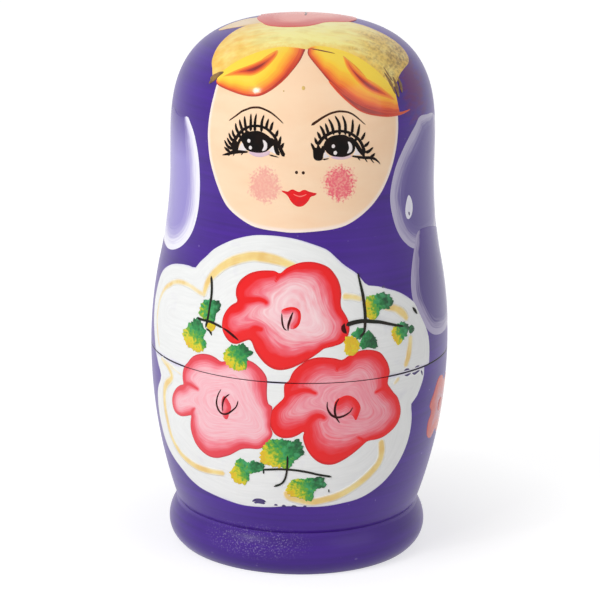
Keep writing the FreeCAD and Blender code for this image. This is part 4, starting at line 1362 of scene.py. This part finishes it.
def rose_parts(rose, detail):
    """A rose's film and its heart. `fade` is the distance from the loaded edge, in widths of the red there.

    Petal borders inside it start at 0.3, where the red is thinner, and join it by (a^-5 + b^-5)^(-1 / 5).
    """
    thinner = 0.3
    outline = smooth(rose["outline"], 0.5, closed=True)
    outline = np.concatenate([outline, outline[:1]])
    load = noted_width(outline, np.reshape(rose["loads"], (-1, 3)))
    borders = [(smooth(line, 0.4), ends) for line, ends in rose["borders"]]

    def fade(flat):
        near = soft_distance(flat, outline, load)
        for line, (first, last) in borders:
            border = thinner + distance(flat, line, np.linspace(first, last, len(line) - 1))
            near = (near ** -5 + border ** -5) ** -0.2
        return near

    def heart_fade(flat):
        return thinner + distance(flat, rose["heart_edge"], rose["heart_load"])

    return [
        film(rose["outline"], rose["centre"], 4, detail=detail, spacing=0.42, fade=fade),
        film(rose["heart"], rose["heart_centre"], 5, detail=detail, spacing=0.35, fade=heart_fade),
    ]


class NESTINGDOLL_OT_roses(NestingDollOperator, bpy.types.Operator):
    """Paint the three roses, each cut where it crosses the seam"""

    bl_idname = "nesting_doll.roses"
    bl_label = "Roses"

    def execute(self, context):
        colours = self.colours
        red = tuple(colours.rose_red)
        bright = rose_finish(
            "rose_paint", red, tuple(colours.rose_pink), tuple(colours.rose_light), display(255, 232, 232)
        )
        full = rose_finish(
            "full_rose_paint", red, display(240, 90, 106), display(240, 146, 160), display(248, 196, 202)
        )
        pale = rose_finish(
            "pale_rose_paint", display(232, 62, 76), display(246, 130, 146), display(248, 184, 194),
            display(252, 216, 220),
        )
        dark = plain_finish("rose_line_paint", display(64, 6, 8), display(34, 8, 10), coat=0.08)
        for doll, detail, made in self.each_doll():
            if not made:
                made["first"] = rose_parts(ROSE_1, detail)
                made["second"] = rose_parts(ROSE_2, detail)
                made["third"] = rose_parts(ROSE_3, detail)
                for key, roses in (("lines_top", [ROSE_1]), ("lines_low", [ROSE_2, ROSE_3])):
                    made[key] = [
                        stroke(line, (0.15, width, width, 0.2), 6, detail=detail, spacing=0.35)
                        for rose in roses for line, width in rose["darks"]
                    ]
            paint(doll, "rose_1", made["first"], bright, "top", ("edge", "fade"))
            paint(doll, "rose_2", made["second"], pale, "both", ("edge", "fade"))
            paint(doll, "rose_3", made["third"], full, "both", ("edge", "fade"))
            paint(doll, "rose_lines_top", made["lines_top"], dark, "top")
            paint(doll, "rose_lines_bottom", made["lines_low"], dark, "bottom")
        return {"FINISHED"}


def leaf_parts(line, dark, yellow, detail):
    """A leaf's film and short dabs round its edge, which point outwards and differ in length, width and tone.

    `tone` is 0 at the dark place, 1 at the yellow one and even between. The film is drawn in towards its
    middle, and each dab starts 1.3 mm inside the edge and ends near it.
    """
    dark, axis = np.array(dark, float), np.subtract(yellow, dark)

    def tone(flat):
        return np.clip((flat - dark) @ axis / (axis @ axis), 0, 1)

    edge = smooth(line, 0.8 * detail, closed=True)
    centre = edge.mean(0)
    random = np.random.default_rng(len(edge))
    drawn_in = centre + 0.93 * (line - centre)
    parts = [film(drawn_in, centre, 5, detail=detail, spacing=0.4, thick=1.6, tone=tone)]
    for tip, (reach, lean, wide, shade) in zip(edge, random.uniform(-1, 1, (len(edge), 4))):
        out = (tip - centre) / np.linalg.norm(tip - centre)
        aside = np.array([-out[1], out[0]]) * 0.25 * lean
        end = tip + (0.02 + 0.14 * reach) * out + 2 * aside
        dab = np.stack([tip - 1.3 * out, tip - 0.6 * out + aside, end])
        parts.append(stroke(
            dab, (0.8, 1.05 + 0.25 * wide, 0.45), 5.4, detail=detail, spacing=0.35, thick=1.4,
            tone=lambda flat, shade=shade: np.clip(tone(flat) + 0.14 * shade, 0, 1),
        ))
    return parts


class NESTINGDOLL_OT_leaves(NestingDollOperator, bpy.types.Operator):
    """Dab the leaves and draw their stems"""

    bl_idname = "nesting_doll.leaves"
    bl_label = "Leaves and stems"

    def execute(self, context):
        leaf = leaf_finish(self.colours)
        ink = plain_finish("stem_paint", display(42, 34, 30), display(24, 34, 26), coat=0.08)
        for doll, detail, made in self.each_doll():
            if not made:
                made["leaf_top"] = [part for shape in LEAVES_TOP for part in leaf_parts(*shape, detail)]
                made["leaf_low"] = [part for shape in LEAVES_LOW for part in leaf_parts(*shape, detail)]
                made["stem_top"] = strokes(STEMS_TOP, 7, detail)
                made["stem_low"] = strokes(STEMS_LOW, 7, detail)
            paint(doll, "leaves_top", made["leaf_top"], leaf, "top", ("edge", "tone"))
            paint(doll, "leaves_bottom", made["leaf_low"], leaf, "bottom", ("edge", "tone"))
            paint(doll, "stems_top", made["stem_top"], ink, "top")
            paint(doll, "stems_bottom", made["stem_low"], ink, "bottom")
        return {"FINISHED"}


class NESTINGDOLL_OT_face(NestingDollOperator, bpy.types.Operator):
    """Paint the face: skin, cheeks, brows, eyes, lashes, nose and mouth"""

    bl_idname = "nesting_doll.face"
    bl_label = "Face"

    def execute(self, context):
        colours = self.colours
        skin = skin_finish(colours)
        ink = plain_finish("eye_line_paint", colours.ink, display(26, 12, 8), coat=0.04)
        white = plain_finish("eye_white_paint", display(240, 232, 230), display(232, 220, 222))
        brown = plain_finish("soft_line_paint", display(52, 28, 18), display(74, 44, 28), coat=0.08)
        red = plain_finish("lip_paint", colours.lips, display(214, 26, 36), coarse=0.9, coat=0.3)
        pink = plain_finish("lip_light_paint", display(255, 120, 108), display(250, 140, 130))
        lilac = plain_finish("eye_shade_paint", display(214, 184, 206), display(232, 200, 204))
        for doll, detail, made in self.each_doll():
            if not made:
                self.draw_parts(made, detail)
            paint(doll, "face", made["skin"], skin, "top", ("edge", "cheek_left", "cheek_right"))
            paint(doll, "eye_shade", made["lilac"], lilac, "top")
            paint(doll, "eye_lines", made["ink"], ink, "top")
            paint(doll, "brows", made["brown"], brown, "top")
            paint(doll, "eye_whites", made["white"], white, "top")
            paint(doll, "lips", made["lips"], red, "top")
            paint(doll, "lip_light", made["light"], pink, "top")
        return {"FINISHED"}

    def draw_parts(self, made, detail):
        """The face's parts on the belt chart."""
        made["skin"] = [film(
            FACE, (0, 46), 1, detail=detail, spacing=1.0,
            cheek_left=lambda flat: self.near_cheek(flat, LEFT_CHEEK),
            cheek_right=lambda flat: self.near_cheek(flat, RIGHT_CHEEK),
        )]
        made["lilac"] = self.films(EYE_SHADES, 2, detail, 0.4)
        ink = self.films(IRISES, 3, detail, 0.4) + self.films(EYE_CORNERS, 3, detail, 0.3)
        ink += strokes(EYE_LINES, 3, detail, 0.35)
        scale = bpy.context.scene.nesting_doll_sizes.line
        lash_width = (0.66 * scale, 0.62 * scale, 0.32)
        ink += strokes([(pairs(*lash), lash_width) for lash in LEFT_LASHES + RIGHT_LASHES], 3.4, detail, 0.4)
        for tick in TICKS:
            start, end = pairs(*tick)
            ink.append(stroke(np.stack([start, (start + end) / 2, end]), (0.35, 0.12), 3.4, detail=detail))
        made["ink"] = ink
        made["brown"] = strokes(BROWS, 2, detail)
        made["brown"] += [dot(-1.2, 41.85, 0.34, 2, detail), dot(0.26, 41.8, 0.34, 2, detail)]
        made["white"] = self.films(LEFT_WHITES + RIGHT_WHITES, 2, detail, 0.3)
        made["white"] += [dot(x, along, radius, 4, detail) for x, along, radius in EYE_SPARKS]
        made["white"] += [self.glint(LEFT_GLINT, detail), self.glint(RIGHT_GLINT, detail)]
        made["lips"] = [film(LIPS, (-0.6, 37), 2, detail=detail, spacing=0.35)]
        made["light"] = strokes(LIP_LINES, 3, detail, 0.3)

    def near_cheek(self, flat, cheek):
        """1 at a cheek's middle, 0 at its edge and less beyond."""
        middle, radius = cheek
        return 1 - np.linalg.norm(flat - np.array(middle), axis=1) / radius

    def films(self, shapes, level, detail, spacing):
        """A film for each outline and centre."""
        return [film(line, centre, level, detail=detail, spacing=spacing) for line, centre in shapes]

    def glint(self, line, detail):
        """A crescent, as a stroke along its middle that is widest half-way."""
        outer = line[:6]
        inner = np.concatenate([outer[:1], line[6:][::-1], outer[-1:]])
        middle = (smooth(outer, 0.5)[0:7:2] + smooth(inner, 0.5)[0:7:2]) / 2
        return stroke(middle, (0.3, 0.75, 0.8, 0.2), 4, detail=detail, spacing=0.3)


class NESTINGDOLL_OT_hair(NestingDollOperator, bpy.types.Operator):
    """Paint the locks, the gold hair over the crown and the flower on top"""

    bl_idname = "nesting_doll.hair"
    bl_label = "Hair and crown flower"

    def execute(self, context):
        colours = self.colours
        hair, band = hair_finish(colours), band_finish(colours)
        petals = flower_finish("crown_flower_paint", display(216, 42, 28), display(242, 128, 114), 7.5)
        dark = plain_finish("crown_line_paint", display(92, 30, 30), display(120, 50, 40))
        leaf = plain_finish("crown_leaf_paint", display(236, 204, 150), display(244, 216, 184), coarse=0.3)
        smudge = plain_finish("hair_smudge_paint", display(150, 112, 58), display(104, 74, 46), coarse=1.2)
        ochre = plain_finish("speck_paint", display(226, 190, 110), display(200, 160, 90))
        for doll, detail, made in self.each_doll():
            if not made:
                self.draw_parts(made, detail)
            paint(doll, "locks", made["hair"], hair, "top")
            paint(doll, "gold_hair", made["band"], band, "top")
            paint(doll, "crown_flower", made["flower"], petals, "top")
            paint(doll, "crown_leaf", made["leaf"], leaf, "top")
            paint(doll, "hair_smudges", made["smudges"], smudge, "top")
            paint(doll, "brow_dot", made["speck"], ochre, "top")
            paint(doll, "crown_lines", made["lines"], dark, "top")
        return {"FINISHED"}

    def draw_parts(self, made, detail):
        """The hair's parts on the crown chart. The locks' colour follows their lower edge alone."""
        parts = []
        for edge, top, centre, shades, lens in (
            (LEFT_LOCK_EDGE, LEFT_LOCK_TOP, (-9, -21), LEFT_LOCK_SHADES, LEFT_LENS),
            (RIGHT_LOCK_EDGE, RIGHT_LOCK_TOP, (12, -22), RIGHT_LOCK_SHADES, RIGHT_LENS),
        ):
            line = smooth(edge, 0.5)
            load = noted_width(line, np.reshape(shades, (-1, 3)))
            parts.append(film(
                np.concatenate([edge, top]), centre, 3, "crown", detail, 0.5,
                lines=lambda flat, _, line=line, load=load: distance(flat, line, load),
            ))
            parts.append(film(
                cornered(lens), lens.mean(0), 4, "crown", detail, 0.3,
                lines=lambda flat, from_edge: 1.45 - 1.35 * from_edge,
            ))
        shadow = stroke(RIGHT_LOCK_SHADOW, (0.4, 1.0, 1.35, 1.2, 0.95, 0.6, 0.15), 4, "crown", detail, 0.5)
        parts.append(shadow)
        shadow[2]["edge"] = 0.5 - shadow[2]["edge"]
        made["hair"] = parts
        made["band"] = [film(BAND, (0.5, -12), 4, "crown", detail, 0.8)]
        made["flower"] = [film(CROWN_LOBES, (0, 4), 5, "crown", detail, 0.7)]
        made["leaf"] = [film(CROWN_LEAF, (-11.4, -1.4), 4, "crown", detail, 0.6)]
        made["smudges"] = strokes(HAIR_SMUDGES, 5, detail, 0.4, "crown")
        made["speck"] = [dot(0, 58.3, 0.42, 2, detail), dot(-4.6, 57.6, 0.16, 2, detail)]
        made["lines"] = [
            stroke(CROWN_STAMEN, (0.3, 0.5, 0.4), 6, "crown", detail),
            stroke(crown_from_belt(FOREHEAD_LINE), (0.2, 0.3, 0.15), 5, "crown", detail),
        ]


class NESTINGDOLL_OT_stage(NestingDollOperator, bpy.types.Operator):
    """Set the pale table, the soft lamps and the camera"""

    bl_idname = "nesting_doll.stage"
    bl_label = "Stage"

    def execute(self, context):
        scene = context.scene
        settings = scene.nesting_doll_stage
        scene.view_settings.view_transform = "Standard"
        self.room(scene, settings.room)
        self.table()
        key = self.lamp("key_light", settings.key, *KEY_LAMP)
        key.visible_glossy = False
        self.lamp("spark_light", settings.spark, *SPARK_LAMP)
        self.lamp("fill_light", settings.fill, *FILL_LAMP)
        self.camera(scene, settings)
        return {"FINISHED"}

    def room(self, scene, strength):
        """Even light from all round, which the lens and reflections see as white."""
        world = bpy.data.worlds.new("room")
        world.use_nodes = True
        tree = world.node_tree
        back = tree.nodes["Background"]
        back.inputs["Color"].default_value = (1, 1, 1, 1)
        path = tree.nodes.new("ShaderNodeLightPath")
        seen = tree.nodes.new("ShaderNodeMath")
        seen.operation = "MAXIMUM"
        tree.links.new(path.outputs["Is Camera Ray"], seen.inputs[0])
        tree.links.new(path.outputs["Is Glossy Ray"], seen.inputs[1])
        level = tree.nodes.new("ShaderNodeMapRange")
        level.inputs["To Min"].default_value = strength
        level.inputs["To Max"].default_value = 1.0
        tree.links.new(seen.outputs[0], level.inputs["Value"])
        tree.links.new(level.outputs[0], back.inputs["Strength"])
        scene.world = world

    def table(self):
        """A wide flat disc, part lit and part glowing to the lens, so that it reads white but keeps a shadow.

        The glow's share is smaller near the doll, where the shadow is.
        """
        turn = np.linspace(0, 2 * math.pi, 97)[:-1]
        rings = [np.stack([r * np.cos(turn), r * np.sin(turn), 0 * turn], 1) for r in TABLE_RINGS]
        points = np.concatenate([[[0, 0, 0]], *rings])
        quads, fans = capped(len(rings), len(turn))
        mesh = bpy.data.meshes.new("table")
        mesh.from_pydata(points.tolist(), [], quads.tolist() + fans[:len(turn)].tolist())
        table = bpy.data.objects.new("table", mesh)
        bpy.context.scene.collection.objects.link(table)
        finish = Finish("table_white", 0.9, coat=0.0)
        finish.shader.inputs["Base Color"].default_value = (TABLE_WHITE, TABLE_WHITE, TABLE_WHITE, 1)
        finish.shader.inputs["Specular IOR Level"].default_value = 0.0
        glow = finish.add("ShaderNodeEmission", {"Color": (1, 1, 1, 1), "Strength": TABLE_GLOW})
        seen = finish.sum(
            "MAXIMUM", finish.add("ShaderNodeLightPath", {}, "Is Camera Ray"),
            finish.add("ShaderNodeLightPath", {}, "Is Glossy Ray"),
        )
        across = finish.place(1, 1, 0)
        away = finish.add("ShaderNodeVectorMath", {"Vector": across}, "Value", operation="LENGTH")
        share = finish.sum("MULTIPLY", seen, finish.span(away, *SHADOW_REACH, *GLOW_SHARE))
        mixed = finish.add("ShaderNodeMixShader", {0: share, 1: finish.shader.outputs[0], 2: glow})
        finish.tree.links.new(mixed, finish.tree.nodes["Material Output"].inputs["Surface"])
        mesh.materials.append(finish.material)

    def lamp(self, name, power, place, size):
        """A square soft lamp that faces the middle of the doll."""
        light = bpy.data.lights.new(name, "AREA")
        light.energy = power
        light.size = size
        lamp = bpy.data.objects.new(name, light)
        lamp.location = place
        lamp.rotation_euler = (Vector(AIM) - Vector(place)).to_track_quat("-Z", "Y").to_euler()
        bpy.context.scene.collection.objects.link(lamp)
        return lamp

    def camera(self, scene, settings):
        """In front of the doll and above, looking down and rolled so that the head leans to the right."""
        data = bpy.data.cameras.new("camera")
        data.lens = settings.lens
        data.sensor_width = 36
        data.clip_start = 0.01
        camera = bpy.data.objects.new("camera", data)
        tilt = Matrix.Rotation(math.pi / 2 - settings.pitch, 4, "X")
        turn = tilt @ Matrix.Rotation(settings.roll, 4, "Z")
        camera.matrix_world = Matrix.Translation((0, -settings.distance, settings.height)) @ turn
        scene.collection.objects.link(camera)
        scene.camera = camera


OPERATORS = (
    NESTINGDOLL_OT_stage, NESTINGDOLL_OT_wood, NESTINGDOLL_OT_coats, NESTINGDOLL_OT_loops,
    NESTINGDOLL_OT_panel, NESTINGDOLL_OT_roses, NESTINGDOLL_OT_leaves, NESTINGDOLL_OT_face,
    NESTINGDOLL_OT_hair,
)


class NESTINGDOLL_PT_panel(bpy.types.Panel):
    bl_label = "Nesting Doll"
    bl_idname = "NESTINGDOLL_PT_panel"
    bl_space_type = "VIEW_3D"
    bl_region_type = "UI"
    bl_category = "Nesting Doll"

    def draw(self, context):
        for group in ("nesting_doll_sizes", "nesting_doll_colours", "nesting_doll_stage"):
            box = self.layout.box()
            settings = getattr(context.scene, group)
            for name in settings.__annotations__:
                box.prop(settings, name)
        for operator in OPERATORS:
            self.layout.operator(operator.bl_idname)


GROUPS = {
    "nesting_doll_colours": NestingDollColours,
    "nesting_doll_sizes": NestingDollSizes,
    "nesting_doll_stage": NestingDollStage,
}


def register():
    for name, group in GROUPS.items():
        bpy.utils.register_class(group)
        setattr(bpy.types.Scene, name, PointerProperty(type=group))
    for operator in OPERATORS:
        bpy.utils.register_class(operator)
    bpy.utils.register_class(NESTINGDOLL_PT_panel)


def unregister():
    bpy.utils.unregister_class(NESTINGDOLL_PT_panel)
    for operator in reversed(OPERATORS):
        bpy.utils.unregister_class(operator)
    for name, group in reversed(GROUPS.items()):
        delattr(bpy.types.Scene, name)
        bpy.utils.unregister_class(group)


def main():
    """Make everything in order."""
    register()
    for operator in OPERATORS:
        group, name = operator.bl_idname.split(".")
        getattr(getattr(bpy.ops, group), name)()


if __name__ == "__main__":
    main()
